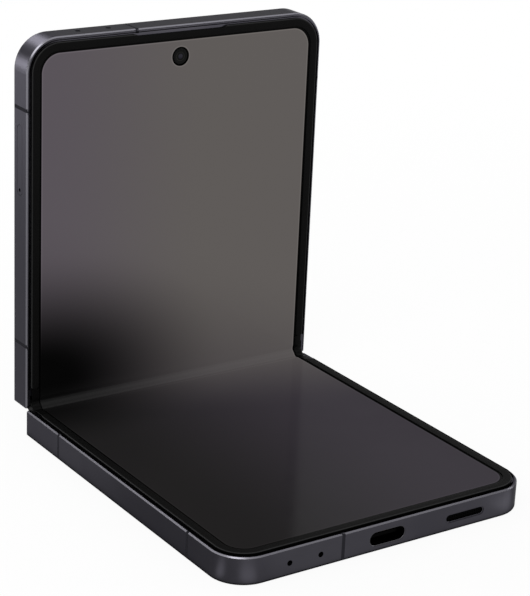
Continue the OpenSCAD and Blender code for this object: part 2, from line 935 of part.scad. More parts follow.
// Tray with a stadium face in the rail, the ejector hole and an open bed for the card
module card_tray() {
    t = 1;
    bed_w = 8.8;
    bed_l = 12.3;
    color(graphite) on_upper() difference() {
        union() {
            translate([-half_w + 0.02, tray_y, mid_z]) rotate([0, 90, 0]) rotate([0, 0, 90])
                linear_extrude(rail_w - 0.1) stadium(tray_l, tray_h);
            translate([-half_w + 0.5, tray_y - tray_l / 2 + 1.2, mid_z - t / 2])
                cube([tray_d, tray_l - 2.4, t]);
        }
        translate([-half_w - 1, tray_y - tray_l / 2 + 1.1, mid_z]) rotate([0, 90, 0])
            cylinder(h = rail_w + 2, r = 0.4, $fn = 32);
        translate([-half_w + tray_d - 0.6 - bed_w - 1, tray_y - bed_l / 2 + 0.3, mid_z - t / 2 + 0.2])
            cube([bed_w, bed_l - 0.6, t]);
    }
}

module upper_hinge_brackets() {
    on_upper() hinge_brackets(1);
}

module upper_screws() {
    color(steel) on_upper() half_screws(main_screws);
}

module upper_magnets() {
    on_upper() magnet_pair();
}

// ---- hinge

// Outline of the spine across the hinge, as a region of its frame
module spine_section(r, depth) {
    intersection() {
        union() {
            translate([-axis_y, rail_h]) circle(r);
            translate([axis_y, rail_h]) circle(r);
            translate([-axis_y, rail_h - r]) square([axis_spacing, r]);
        }
        translate([-axis_y - r - 1, rail_h - depth]) square([axis_spacing + 2 * r + 2, depth]);
    }
}

module spine_cover() {
    color("#3d3c42") on_spine() difference() {
        along_x(-spine_half_l, spine_half_l) spine_section(spine_r, spine_depth);
        along_x(spine_wall - spine_half_l, spine_half_l - spine_wall)
            translate([0, e]) spine_section(spine_r - spine_wall, spine_depth - spine_wall + e);
        // the display lies above this level when the phone is flat
        translate([-body_w, -10, display_z - 0.1]) cube([2 * body_w, 20, 10]);
        at_modules() {
            // where the curved brackets and the gear arms cross the sides
            translate([-2 * rail_part_w - 3 * rail_gap, -10, rail_h - bracket_level - arm_t / 2 - 0.2])
                cube([2 * rail_part_w + 3 * rail_gap, 20, 10]);
            translate([-0.2, -10, rail_h - gear_level - arm_t / 2 - 0.2]) cube([arm_w + 0.4, 20, 10]);
        }
    }
}

// Groove that a curved rail runs in, from flat to closed
module rail_groove(side) {
    translate([side * axis_y, rail_h]) intersection() {
        difference() {
            circle(rail_out_r + rail_gap);
            circle(rail_in_r - rail_gap);
        }
        polygon([[0, 0], [side * 6, 0], [side * 6, -6], [-side * 6 * tan(32), -6]]);
    }
}

// Fixed block of the spine with one groove, for the brackets of one half
module guide_block(x0, side) {
    top = rail_h + display_rise - display_t - 0.15;
    along_x(x0, x0 + rail_part_w) difference() {
        intersection() {
            spine_section(spine_r - spine_wall - 0.05, spine_floor);
            translate([-10, rail_h - spine_floor]) square([20, top - rail_h + spine_floor]);
        }
        rail_groove(side);
        // the bracket's plate sweeps this corner
        translate([side > 0 ? axis_y + rail_in_r : -10, rail_h - bracket_level - arm_t / 2 - 0.15])
            square([10 - axis_y - rail_in_r, 10]);
    }
}

module shaft_walls() {
    // thin walls that carry the shafts, either side of the gears and at the end
    wall_top = display_z - 0.15;
    for (x = [[-rail_gap + e, 0.25], [arm_w + 0.15, 0.5], [module_end - 0.6, 0.6]])
        along_x(x[0], x[0] + x[1]) intersection() {
            spine_section(spine_r - spine_wall - 0.05, spine_floor);
            translate([-10, rail_h - spine_floor]) square([20, wall_top - rail_h + spine_floor]);
        }
}

// Bars along the floor, outside the gears, that tie the shaft walls together
module tie_bars() {
    along_x(-rail_gap - e, module_end) for (side = [-1, 1])
        translate([side * (shaft_y + gear_r + 0.1) - 0.25, rail_h - spine_floor]) square([0.5, 0.4]);
}

module hinge_center_brackets() {
    color(steel) on_spine() at_modules() difference() {
        union() {
            tie_bars();
            guide_block(-2 * rail_part_w - 2 * rail_gap, -1);
            guide_block(-rail_part_w - rail_gap, 1);
            // floor that ties the blocks and walls together
            translate([-2 * rail_part_w - 2 * rail_gap, -shaft_y, rail_h - spine_floor])
                cube([2 * rail_part_w + 2 * rail_gap, 2 * shaft_y, 0.15]);
            shaft_walls();
        }
        for (side = [-1, 1]) {
            rod(-rail_gap - 1, module_end + 1, side * shaft_y, rail_h - gear_level, shaft_r);
            rod(-rail_gap - 1, arm_w + 0.4, side * idler_y, rail_h - gear_level, idler_shaft_r);
        }
    }
}

module hinge_shafts() {
    color("#c9ccd2") on_spine() at_modules()
        for (side = [-1, 1]) {
            rod(-0.05, module_end, side * shaft_y, rail_h - gear_level, shaft_r);
            rod(-0.05, arm_w + 0.4, side * idler_y, rail_h - gear_level, idler_shaft_r);
        }
}

spring_count = 7;

// Stacks of cupped spring washers that give the hinge its friction
module friction_springs() {
    x0 = arm_w + 0.7;
    pitch = (module_end - 0.7 - x0) / spring_count;
    outer = min(gear_r, spine_floor - gear_level) - 0.05;
    color("#b9a26a") on_spine() at_modules()
        for (side = [-1, 1])
            for (i = [0 : spring_count - 1])
                translate([x0 + i * pitch, side * shaft_y, rail_h - gear_level]) rotate([0, 90, 0])
                    mirror([0, 0, i % 2]) translate([0, 0, i % 2 ? -pitch : 0]) rotate_extrude()
                        polygon([
                            [shaft_r, 0], [shaft_r + 0.15, 0], [outer, pitch / 2],
                            [outer, pitch - 0.02], [outer - 0.1, pitch - 0.02], [shaft_r, pitch / 2]
                        ]);
}

// Cap at each end of the spine: it closes the corner between the two bezels
module hinge_end_caps() {
    plate_top = display_top - 0.02;
    stem_top = display_z - 0.08;
    x0 = half_w - display_inset + 0.12;
    color(black) on_spine() both_sides() {
        along_x(x0, x0 + cap_t) cap_section(cap_r, plate_top);
        along_x(spine_half_l, x0 + e) cap_section(cap_r, stem_top);
    }
}

module cap_section(r, top) {
    intersection() {
        for (side = [-1, 1])
            translate([side * axis_y, rail_h]) circle(r);
        translate([-10, rail_h - r]) square([20, top - rail_h + r]);
    }
}

// Section of a band that follows both halves and bends round the fold. Its front face stands
// at the height z, and it reaches along each half to y1 from the fold line.
module folded_band(z, t, r, y1) {
    level = z - rail_h;
    // where the planes of the two front faces meet, below the fold axes
    corner = rail_h + level / cos(half_turn) - axis_y * tan(half_turn);
    centre = corner + r / cos(half_turn);
    translate([0, centre]) intersection() {
        difference() {
            circle(r + t);
            circle(r);
        }
        polygon([[0, 0], [-20 * sin(half_turn), -20 * cos(half_turn)],
            [20 * sin(half_turn), -20 * cos(half_turn)]]);
    }
    // straight parts, from the foot of the arc to the end
    foot = axis_y * (1 - cos(half_turn)) + (corner - rail_h) * sin(half_turn) + r * tan(half_turn);
    for (side = [-1, 1])
        translate([side * axis_y, rail_h]) rotate(side * half_turn) translate([-side * axis_y, -rail_h])
            translate([side > 0 ? foot - e : -y1, z - t]) square([y1 - foot + e, t]);
}

module display_fold() {
    color(black) on_spine()
        along_x(display_inset - half_w, half_w - display_inset)
            folded_band(display_top, display_t, fold_r, fold_half - glue);
}

// The soft strips lie on the display and carry the bezels on round the fold
module fold_bezel_strips() {
    x1 = half_w - bezel_inset - 0.15;
    top = rail_h + bezel_h - 0.05;
    rise = top - display_top;
    color(black) on_spine() both_sides()
        along_x(x1 - bezel_w + 0.3, x1)
            folded_band(top, rise - lip_gap, fold_r - rise, bezel_end - glue);
}

// Gear with simple flanked teeth, thinned a little so that the train runs free
module gear_section(phase) {
    step = 360 / gear_teeth;
    root = gear_r - tooth_h / 2;
    tip = gear_r + tooth_h / 2 - 0.03;
    circle(root);
    for (i = [0 : gear_teeth - 1])
        rotate(phase + i * step)
            polygon([
                [root - 0.1, -root * sin(step * 0.26)], [root, -root * sin(step * 0.26)],
                [tip, -tip * sin(step * 0.12)], [tip, tip * sin(step * 0.12)],
                [root, root * sin(step * 0.26)], [root - 0.1, root * sin(step * 0.26)]
            ]);
}

module gear_arm(side) {
    step = 360 / gear_teeth;
    // side -1 is the lower arm, which reaches towards -Y when the phone is flat
    translate([0, side * shaft_y, rail_h - gear_level]) rotate([side * half_turn, 0, 0])
        difference() {
            union() {
                along_x(0.35, 0.35 + gear_w) gear_section(side > 0 ? step / 2 : 0);
                rod(0.35, arm_w, 0, 0, hub_r);
                arm_plate(side);
            }
            rod(-1, arm_w + 1, 0, 0, shaft_r + bore_gap);
        }
}

// Plate of the arm, with a rounded tip, beyond the gear's teeth
module arm_plate(side) {
    x0 = 0.35 + gear_w + 0.1;
    w = arm_w - x0;
    translate([0, 0, -arm_t / 2]) linear_extrude(arm_t) {
        translate([x0, side > 0 ? 0 : -arm_reach + w / 2]) square([w, arm_reach - w / 2]);
        translate([x0 + w / 2, side * (arm_reach - w / 2)]) circle(w / 2);
    }
}

module idler_gear(side) {
    step = 360 / gear_teeth;
    translate([0, side * idler_y, rail_h - gear_level]) rotate([-side * half_turn, 0, 0])
        difference() {
            along_x(0.35, 0.35 + gear_w) gear_section(side > 0 ? 0 : step / 2);
            rod(-1, arm_w + 1, 0, 0, idler_shaft_r + bore_gap);
        }
}

module lower_gear_arms() {
    color("#8d8f96") on_spine() at_modules() gear_arm(-1);
}

module upper_gear_arms() {
    color("#8d8f96") on_spine() at_modules() gear_arm(1);
}

module lower_idler_gears() {
    color("#c2a25a") on_spine() at_modules() idler_gear(-1);
}

module upper_idler_gears() {
    color("#c2a25a") on_spine() at_modules() idler_gear(1);
}

lower_frame();
lower_antenna_breaks();
back_glass();
lower_bezel();
display_lower();
lower_battery();
charging_coil();
sub_board();
usb_c_socket();
loudspeaker();
speaker_mesh();
vibration_motor();
lower_microphones();
lower_hinge_brackets();
lower_screws();
lower_magnets();
upper_frame();
upper_antenna_breaks();
cover_glass();
cover_display();
upper_bezel();
display_upper();
upper_battery();
main_board();
shield_cans();
rear_cameras();
camera_rings();
camera_lenses();
flash_led();
front_camera();
earpiece();
upper_microphones();
side_key_flex();
upper_hinge_brackets();
upper_screws();
upper_magnets();
rocker_pin();
card_tray();
power_key();
volume_rocker();
spine_cover();
hinge_center_brackets();
hinge_shafts();
friction_springs();
hinge_end_caps();
display_fold();
fold_bezel_strips();
lower_gear_arms();
upper_gear_arms();
lower_idler_gears();
upper_idler_gears();
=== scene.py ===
# %% [markdown]
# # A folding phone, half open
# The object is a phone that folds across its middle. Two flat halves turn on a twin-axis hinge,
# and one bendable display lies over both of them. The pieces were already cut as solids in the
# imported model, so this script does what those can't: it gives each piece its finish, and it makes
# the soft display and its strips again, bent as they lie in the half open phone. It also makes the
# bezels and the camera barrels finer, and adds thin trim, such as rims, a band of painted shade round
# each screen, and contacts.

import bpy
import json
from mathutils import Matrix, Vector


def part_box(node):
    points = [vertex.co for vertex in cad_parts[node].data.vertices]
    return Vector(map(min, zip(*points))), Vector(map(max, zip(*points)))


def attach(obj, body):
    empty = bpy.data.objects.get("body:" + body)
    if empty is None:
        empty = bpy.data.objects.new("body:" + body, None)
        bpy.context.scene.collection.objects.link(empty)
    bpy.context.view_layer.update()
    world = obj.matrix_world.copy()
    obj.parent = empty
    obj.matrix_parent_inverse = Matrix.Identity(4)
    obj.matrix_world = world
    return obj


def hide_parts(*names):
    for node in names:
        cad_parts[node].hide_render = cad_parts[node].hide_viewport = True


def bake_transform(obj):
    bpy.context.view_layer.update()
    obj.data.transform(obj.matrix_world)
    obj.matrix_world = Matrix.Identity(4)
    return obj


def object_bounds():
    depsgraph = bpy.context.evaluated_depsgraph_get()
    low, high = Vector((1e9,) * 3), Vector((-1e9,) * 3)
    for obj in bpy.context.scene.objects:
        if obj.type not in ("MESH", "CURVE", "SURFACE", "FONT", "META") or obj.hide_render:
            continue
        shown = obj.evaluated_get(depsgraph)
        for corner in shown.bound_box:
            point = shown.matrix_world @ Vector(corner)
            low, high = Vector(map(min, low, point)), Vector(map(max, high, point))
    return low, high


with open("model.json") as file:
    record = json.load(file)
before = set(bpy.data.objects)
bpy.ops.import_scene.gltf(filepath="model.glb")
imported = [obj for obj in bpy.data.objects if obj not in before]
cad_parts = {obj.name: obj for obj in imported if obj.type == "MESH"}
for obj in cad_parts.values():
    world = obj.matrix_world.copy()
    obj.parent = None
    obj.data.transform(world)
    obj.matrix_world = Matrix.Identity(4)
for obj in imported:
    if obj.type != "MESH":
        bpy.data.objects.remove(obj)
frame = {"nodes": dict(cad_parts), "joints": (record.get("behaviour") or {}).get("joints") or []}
cad_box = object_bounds()
nodes = frame["nodes"]

# %% [markdown]
# ## Sizes
# The hinge axes come from the joints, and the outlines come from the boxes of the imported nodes, so
# a change in the solids moves the pieces of this scene with it. Only what no box tells, such as the
# radius of a corner, is written as a number here, and it is the solid's own.

# %% Read the sizes from the frame
import json
import math

import bmesh
import bpy
import numpy as np
from mathutils import Matrix, Vector

MM = 0.001
PARTS = ("lower", "upper")
CORNER_RADIUS = 7.5 * MM
FRONT_BEVEL = 0.25 * MM
BACK_ROUND = 0.6 * MM
FRONT_CAMERA_IN = 7.05 * MM

hinges = [joint for joint in frame["joints"] if "pos_m" in joint]
joint_place = {joint["name"]: Vector(joint["pos_m"]) for joint in hinges}
lower_axis = joint_place["spine_fold"]
upper_axis = joint_place["upper_fold"]
rail_low, rail_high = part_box("lower_frame")
half_w = rail_high.x
hinge_y = -rail_low.y
half_l = 2 * hinge_y
rail_h = lower_axis.z
axis_y = hinge_y - lower_axis.y
half_turn = math.atan2(upper_axis.z - lower_axis.z, upper_axis.y - lower_axis.y)
glass_low, glass_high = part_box("display_lower")
display_side = glass_high.x
display_top = glass_high.z
display_bottom = glass_low.z
fold_half = hinge_y - glass_high.y
bezel_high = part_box("lower_bezel")[1]
bezel_inset = half_w - bezel_high.x
bezel_top = bezel_high.z
bezel_end = hinge_y - bezel_high.y
port_z = (rail_h - FRONT_BEVEL) / 2
front_s = half_l - FRONT_CAMERA_IN
print("half of the phone:", [round(v / MM, 2) for v in (half_w, half_l, rail_h)])
print("turn of each half from flat:", round(math.degrees(half_turn), 1))

# %% [markdown]
# ## The laid-open phone
# Most pieces are easiest to think of with the phone lying open and flat: x runs along the hinge,
# the second coordinate is the signed distance from the fold, and z is the height over the back.
# A matrix for each part of the hinge carries such a place to where it is in the half open phone.


# %% Matrices from the laid-open phone to the half open one
def turned(centre, angle):
    """Turns by angle about the line along X that passes through centre."""
    back = Matrix.Translation(-centre)
    return Matrix.Translation(centre) @ Matrix.Rotation(angle, 4, "X") @ back


flat_upper_axis = Vector((0, hinge_y + axis_y, rail_h))
to_fold = Matrix.Translation((0, hinge_y, 0))
LAID = {
    "lower": to_fold,
    "spine": turned(lower_axis, half_turn) @ to_fold,
    "upper": turned(lower_axis, half_turn) @ turned(flat_upper_axis, half_turn) @ to_fold,
}
BODY = {"lower": "lower_half", "spine": "spine", "upper": "upper_half"}
SIGN = {"lower": -1, "upper": 1}
far_end = LAID["upper"] @ Vector((0, half_l, 0))
print("free end of the upper half:", [round(v / MM, 2) for v in far_end])

# %% [markdown]
# ## The camera
# A long lens from a little above and to the left shows both screens, the left rails and the free
# end with its ports. The aim is given as yaw, pitch and roll, as on a tripod head.

# %% Put up the camera
CAMERA_PLACE = Vector((-0.228167, -0.324256, 0.184313))
CAMERA_YAW = math.radians(34.702)
CAMERA_PITCH = math.radians(-20.013)
CAMERA_ROLL = math.radians(2.597)
FOCAL_PIXELS = 2009.6
PICTURE_HEIGHT = 596
SENSOR = 36.0
NEAREST = 0.01

aim = Vector((math.sin(CAMERA_YAW), math.cos(CAMERA_YAW), 0)) * math.cos(CAMERA_PITCH)
aim.z = math.sin(CAMERA_PITCH)
side = aim.cross(Vector((0, 0, 1))).normalized()
over = side.cross(aim)
to_right = side * math.cos(CAMERA_ROLL) + over * math.sin(CAMERA_ROLL)
upwards = over * math.cos(CAMERA_ROLL) - side * math.sin(CAMERA_ROLL)
lens = bpy.data.cameras.new("portrait_lens")
lens.sensor_width = SENSOR
lens.lens = FOCAL_PIXELS * SENSOR / PICTURE_HEIGHT
lens.clip_start = NEAREST
camera = bpy.data.objects.new("portrait_camera", lens)
bpy.context.scene.collection.objects.link(camera)
bpy.context.scene.camera = camera
turn = Matrix((to_right, upwards, -aim)).transposed().to_4x4()
camera.matrix_world = Matrix.Translation(CAMERA_PLACE) @ turn
bpy.context.scene.view_settings.view_transform = "Standard"
print("lens in mm:", round(lens.lens, 1))

# %% [markdown]
# ## Small tools for node trees
# A material is a graph of nodes. These few functions add a node, fill or link its inputs, and give
# back an output, so that each finish below reads as a short recipe. A number that is the same all
# over a surface is written on the shader itself, and only what varies comes through nodes. Lengths
# in a finish are in millimetres on the laid-open phone. WHOLE, GRIT and LINES are the reaches over
# which a mask, a grain's height and a brushed line change a finish.


# %% Helpers that add nodes and do sums
WHOLE = (0.0, 1.0)
GRIT = (0.2, 0.8)
LINES = (0.3, 0.7)


def add(tree, kind, inputs=None, **settings):
    """Adds a node, sets it up, and links or fills its inputs."""
    made = tree.nodes.new(kind)
    for name, value in settings.items():
        setattr(made, name, value)
    for name, value in (inputs or {}).items():
        if isinstance(value, bpy.types.NodeSocket):
            tree.links.new(value, made.inputs[name])
        else:
            made.inputs[name].default_value = value
    return made


def maths(tree, operation, first, second=0.0):
    """One sum of two numbers or sockets."""
    return add(tree, "ShaderNodeMath", {0: first, 1: second}, operation=operation).outputs[0]


def vectors(tree, operation, first, second=(0, 0, 0)):
    """One sum of two vectors."""
    made = add(tree, "ShaderNodeVectorMath", {0: first, 1: second}, operation=operation)
    return made.outputs["Value" if operation in ("LENGTH", "DOT_PRODUCT") else "Vector"]


def soft_step(tree, value, low, high, start=0.0, end=1.0):
    """Goes smoothly from start to end while value goes from low to high."""
    inputs = {"Value": value, "From Min": low, "From Max": high, "To Min": start, "To Max": end}
    kind = "ShaderNodeMapRange"
    return add(tree, kind, inputs, interpolation_type="SMOOTHSTEP").outputs["Result"]


def soft_field(tree, place, centre, size, inner=0.0):
    """One where a stretched round field is full and zero past its rim."""
    away = vectors(tree, "SUBTRACT", place, (*centre, 0))
    away = vectors(tree, "MULTIPLY", away, (1 / size[0], 1 / size[1], 0))
    return soft_step(tree, vectors(tree, "LENGTH", away), 1.0, inner)


def blended(tree, share, first, second):
    """Colour that goes from first to second with share."""
    made = add(tree, "ShaderNodeMix", data_type="RGBA")
    for index, value in ((0, share), (6, first), (7, second)):
        if isinstance(value, bpy.types.NodeSocket):
            tree.links.new(value, made.inputs[index])
        else:
            made.inputs[index].default_value = value
    return made.outputs[2]


print("ramps:", WHOLE, GRIT, LINES)

# %% [markdown]
# A node group keeps an effect in one box with named sockets. A finish is a material with one
# shader, and a few helpers set it up and feed it.


# %% Helpers for groups and finishes
def new_group(name, inputs, outputs):
    """An empty shader group with named sockets: gives the group, what comes in, what goes out."""
    group = bpy.data.node_groups.new(name, "ShaderNodeTree")
    for label, kind in inputs:
        group.interface.new_socket(label, in_out="INPUT", socket_type="NodeSocket" + kind)
    for label, kind in outputs:
        group.interface.new_socket(label, in_out="OUTPUT", socket_type="NodeSocket" + kind)
    entry = group.nodes.new("NodeGroupInput")
    leave = group.nodes.new("NodeGroupOutput")
    return group, entry.outputs, leave.inputs


def use(tree, group, inputs):
    """Places a group in a material with its own values."""
    return add(tree, "ShaderNodeGroup", inputs, node_tree=group).outputs


def rgb(red, green, blue):
    """A colour in linear light with full alpha."""
    return (red, green, blue, 1.0)


def new_finish(name, colour, roughness, metallic=0.0, **sockets):
    """A material with one shader, whose plain values are written on the shader itself."""
    material = bpy.data.materials.new(name)
    material.use_nodes = True
    material.diffuse_color = colour
    tree = material.node_tree
    shader = tree.nodes["Principled BSDF"]
    shader.inputs["Base Color"].default_value = colour
    shader.inputs["Roughness"].default_value = roughness
    shader.inputs["Metallic"].default_value = metallic
    for label, value in sockets.items():
        shader.inputs[label.replace("_", " ")].default_value = value
    return material, tree, shader


def feed(tree, shader, label, socket):
    """Links a varying colour, mask or value to the shader."""
    tree.links.new(socket, shader.inputs[label])


def feed_roughness(tree, shader, value, reach, rough):
    """Lets the roughness go smoothly over rough while value goes over reach."""
    feed(tree, shader, "Roughness", soft_step(tree, value, *reach, *rough))


def feed_bump(tree, shader, height, depth):
    """Raises the surface by height, where a height of one stands depth high."""
    bump = add(tree, "ShaderNodeBump", {"Height": height, "Distance": depth, "Strength": 1.0})
    feed(tree, shader, "Normal", bump.outputs["Normal"])


print("group and finish helpers ready")

# %% [markdown]
# A pattern must stay on its piece when the phone folds, so each finish reads the object's own
# coordinates, and a Mapping node takes them back to the laid-open phone.


# %% Helpers that find a point's laid-open place
def laid_place(tree, part):
    """Place on the laid-open phone in millimetres, from the object's own coordinates."""
    back = LAID[part].inverted()
    inputs = {
        "Vector": tree.nodes.new("ShaderNodeTexCoord").outputs["Object"],
        "Location": back.translation / MM,
        "Rotation": back.to_euler(),
        "Scale": (1 / MM, 1 / MM, 1 / MM),
    }
    return add(tree, "ShaderNodeMapping", inputs, vector_type="POINT").outputs["Vector"]


def laid_normal(tree, part):
    """Direction that the surface faces on the laid-open phone."""
    inputs = {
        "Vector": tree.nodes.new("ShaderNodeTexCoord").outputs["Normal"],
        "Rotation": LAID[part].inverted().to_euler(),
    }
    return add(tree, "ShaderNodeMapping", inputs, vector_type="VECTOR").outputs["Vector"]


print("place helpers ready")

# %% [markdown]
# ## Effects that several finishes share
# Each shared effect is a node group, built once: the fine grain of blasted or moulded surfaces, the
# long lines of brushed metal, the rings that a lathe leaves, the bright cut edge of the rail, and
# a rounded window shape for the screens.

# %% Grain, brushed lines and turned rings
VECTOR, VALUE, COLOUR = "Vector", "Float", "Color"
MOTTLE_SCALE = 0.09

fine_grain, given, result = new_group(
    "fine_grain", [("Place", VECTOR), ("Scale", VALUE)], [("Height", VALUE), ("Mottle", VALUE)]
)
grit = add(
    fine_grain,
    "ShaderNodeTexNoise",
    {"Vector": given["Place"], "Scale": given["Scale"], "Detail": 3.0, "Roughness": 0.6},
)
cloud = add(
    fine_grain,
    "ShaderNodeTexNoise",
    {"Vector": given["Place"], "Scale": MOTTLE_SCALE, "Detail": 4.0, "Roughness": 0.55},
)
fine_grain.links.new(grit.outputs[0], result["Height"])
fine_grain.links.new(soft_step(fine_grain, cloud.outputs[0], *LINES), result["Mottle"])

brushed_lines, given, result = new_group(
    "brushed_lines", [("Place", VECTOR), ("Stretch", VECTOR)], [("Height", VALUE)]
)
drawn = vectors(brushed_lines, "MULTIPLY", given["Place"], given["Stretch"])
lines = add(
    brushed_lines, "ShaderNodeTexNoise", {"Vector": drawn, "Scale": 1.0, "Detail": 4.0}
)
brushed_lines.links.new(lines.outputs[0], result["Height"])

turned_rings, given, result = new_group(
    "turned_rings",
    [("Place", VECTOR), ("Centre", VECTOR), ("Pitch", VALUE)],
    [("Height", VALUE), ("Radius", VALUE)],
)
out = vectors(turned_rings, "SUBTRACT", given["Place"], given["Centre"])
out = vectors(turned_rings, "MULTIPLY", out, (1, 1, 0))
radius = vectors(turned_rings, "LENGTH", out)
wave = maths(turned_rings, "DIVIDE", radius, given["Pitch"])
wave = maths(turned_rings, "SINE", maths(turned_rings, "MULTIPLY", wave, 2 * math.pi))
turned_rings.links.new(maths(turned_rings, "MULTIPLY_ADD", wave, 0.5), result["Height"])
turned_rings.links.new(radius, result["Radius"])

print("groups:", fine_grain.name, brushed_lines.name, turned_rings.name)

# %% [markdown]
# The cut edge is found by direction and height: its mask is one where the surface slants by about
# 45 degrees and lies high enough. The window gives the distance from the outline of a rounded
# rectangle, which is less than zero inside it.

# %% Cut edge and rounded window
CUT_SLANT = (0.2, 0.1)

cut_edge, given, result = new_group(
    "cut_edge", [("Place", VECTOR), ("Normal", VECTOR), ("Level", VALUE)], [("Mask", VALUE)]
)
facing = add(cut_edge, "ShaderNodeSeparateXYZ", {0: given["Normal"]}).outputs["Z"]
height = add(cut_edge, "ShaderNodeSeparateXYZ", {0: given["Place"]}).outputs["Z"]
slant = maths(cut_edge, "ABSOLUTE", maths(cut_edge, "SUBTRACT", facing, math.sin(math.pi / 4)))
slanted = soft_step(cut_edge, slant, *CUT_SLANT)
high = maths(cut_edge, "GREATER_THAN", height, given["Level"])
cut_edge.links.new(maths(cut_edge, "MULTIPLY", slanted, high), result["Mask"])

rounded_window, given, result = new_group(
    "rounded_window",
    [("Place", VECTOR), ("Inner", VECTOR), ("Corner", VALUE)],
    [("Distance", VALUE)],
)
flat = vectors(rounded_window, "MULTIPLY", given["Place"], (1, 1, 0))
past = vectors(rounded_window, "SUBTRACT", vectors(rounded_window, "ABSOLUTE", flat), given["Inner"])
outside = vectors(rounded_window, "LENGTH", vectors(rounded_window, "MAXIMUM", past, (0, 0, 0)))
parts = add(rounded_window, "ShaderNodeSeparateXYZ", {0: past}).outputs
inside = maths(rounded_window, "MINIMUM", maths(rounded_window, "MAXIMUM", parts[0], parts[1]), 0.0)
reach = maths(rounded_window, "ADD", outside, inside)
distance = maths(rounded_window, "SUBTRACT", reach, given["Corner"])
rounded_window.links.new(distance, result["Distance"])
print("groups:", cut_edge.name, rounded_window.name)

# %% [markdown]
# ## Rail metal
# The rails are aluminium, blasted with fine beads and dyed graphite, so they look even and matt.
# Along the front edge a cutter then takes a thin slanted strip off, which shows bright bare metal.
# A second material on thin faces would do, but the cut edge is found from the way a face points
# and how high it lies, so the solid's own mesh can stay as it is.

# %% Graphite rail metal for both halves
RAIL_COLOUR = rgb(0.093, 0.090, 0.107)
RAIL_DEEP = rgb(0.081, 0.078, 0.094)
BARE_METAL = rgb(0.235, 0.23, 0.26)
EDGE_TINT = rgb(0.5, 0.5, 0.5)
RAIL_MATT = (0.28, 0.34)
CUT_POLISH = 0.04
CUT_LEVEL = rail_h / MM - 0.3
BLAST_SCALE = 16.0
BLAST_DEPTH = 0.0006 * MM


def rail_metal(part):
    """Blasted and dyed aluminium with a bright cut edge in front."""
    name = "rail_metal_" + part
    material, tree, shader = new_finish(name, RAIL_COLOUR, 0.32, 1.0, Specular_Tint=EDGE_TINT)
    place = laid_place(tree, part)
    grain = use(tree, fine_grain, {"Place": place, "Scale": BLAST_SCALE})
    edge = {"Place": place, "Normal": laid_normal(tree, part), "Level": CUT_LEVEL}
    cut = use(tree, cut_edge, edge)["Mask"]
    dyed = blended(tree, grain["Mottle"], RAIL_COLOUR, RAIL_DEEP)
    feed(tree, shader, "Base Color", blended(tree, cut, dyed, BARE_METAL))
    matt = soft_step(tree, grain["Mottle"], *WHOLE, *RAIL_MATT)
    polish = maths(tree, "MULTIPLY", cut, CUT_POLISH)
    feed(tree, shader, "Roughness", maths(tree, "SUBTRACT", matt, polish))
    feed_bump(tree, shader, grain["Height"], BLAST_DEPTH)
    return material


def dress(material, *names):
    """Gives CAD nodes a finish through their own material slots."""
    for name in names:
        for slot in nodes[name].material_slots:
            slot.material = material
    print(material.name, "on", ", ".join(names))


rail_finish = {part: rail_metal(part) for part in PARTS}
dress(rail_finish["lower"], "lower_frame")
dress(rail_finish["upper"], "upper_frame", "card_tray", "power_key", "volume_rocker")

# %% [markdown]
# ## Antenna breaks and the plain outer pieces
# Radio waves don't pass metal, so the rail is cut through and filled with moulded polymer of nearly
# the same colour. It has no metal shine, and that alone makes the thin lines show.


# %% Antenna polymer, and the black plastic of the hinge's end caps
def paler(colour, gain):
    """The same colour, lighter or darker by gain."""
    return rgb(*(gain * channel for channel in colour[:3]))


def moulded(name, part, colour, roughness, scale, depth, level=0.3):
    """Moulded plastic: an even colour, a slight mottle and a fine moulded grain."""
    material, tree, shader = new_finish(name, colour, roughness, Specular_IOR_Level=level)
    grain = use(tree, fine_grain, {"Place": laid_place(tree, part), "Scale": scale})
    feed(tree, shader, "Base Color", blended(tree, grain["Mottle"], colour, paler(colour, 0.8)))
    rough = (roughness - 0.05, roughness + 0.05)
    feed_roughness(tree, shader, grain["Height"], GRIT, rough)
    feed_bump(tree, shader, grain["Height"], depth)
    return material


POLYMER = rgb(0.0228, 0.0223, 0.027)
POLYMER_LOOK = {"roughness": 0.45, "scale": 9.0, "depth": 0.001 * MM, "level": 0.005}
polymer_finish = {
    part: moulded("antenna_polymer_" + part, part, POLYMER, **POLYMER_LOOK) for part in PARTS
}
for part in PARTS:
    dress(polymer_finish[part], part + "_antenna_breaks")
CAP_BLACK = rgb(0.004, 0.004, 0.004)
CAP_LOOK = {"roughness": 0.4, "scale": 7.0, "depth": 0.001 * MM, "level": 0.1}
dress(moulded("cap_black", "spine", CAP_BLACK, **CAP_LOOK), "hinge_end_caps")

# %% [markdown]
# ## The screen
# The display is lit, so its picture is light that the surface gives off, under a dark glossy film.
# The picture is drawn by arithmetic on the laid-open place of each point: wide soft fields of
# brown grey and near black, with no motif. A rounded window cuts it off at the edge of the lit
# area, a thin paler line of painted highlight runs along that edge, and a dark ring lies round the
# camera hole.

# %% The picture on the screen
LIT_SIDE = 34.1
LIT_END = 79.9
LIT_CORNER = 4.3
CAMERA_RING = 2.15

WARM_GREY = rgb(0.112, 0.102, 0.097)
MAUVE_GREY = rgb(0.098, 0.085, 0.098)
NIGHT = rgb(0.0012, 0.0012, 0.0012)
DUSK = rgb(0.013, 0.0122, 0.0125)
PLUM = rgb(0.036, 0.031, 0.039)
WARM_REACH = (-36, 10)
PLUM_REACH = (-30, 30)
RISE_REACH = (-22, 34)
SLANT = 0.35
HOLLOW_CENTRE = (-36, 6)
HOLLOW_SIZE = (52, 30)
HOLLOW_HEART = 0.15

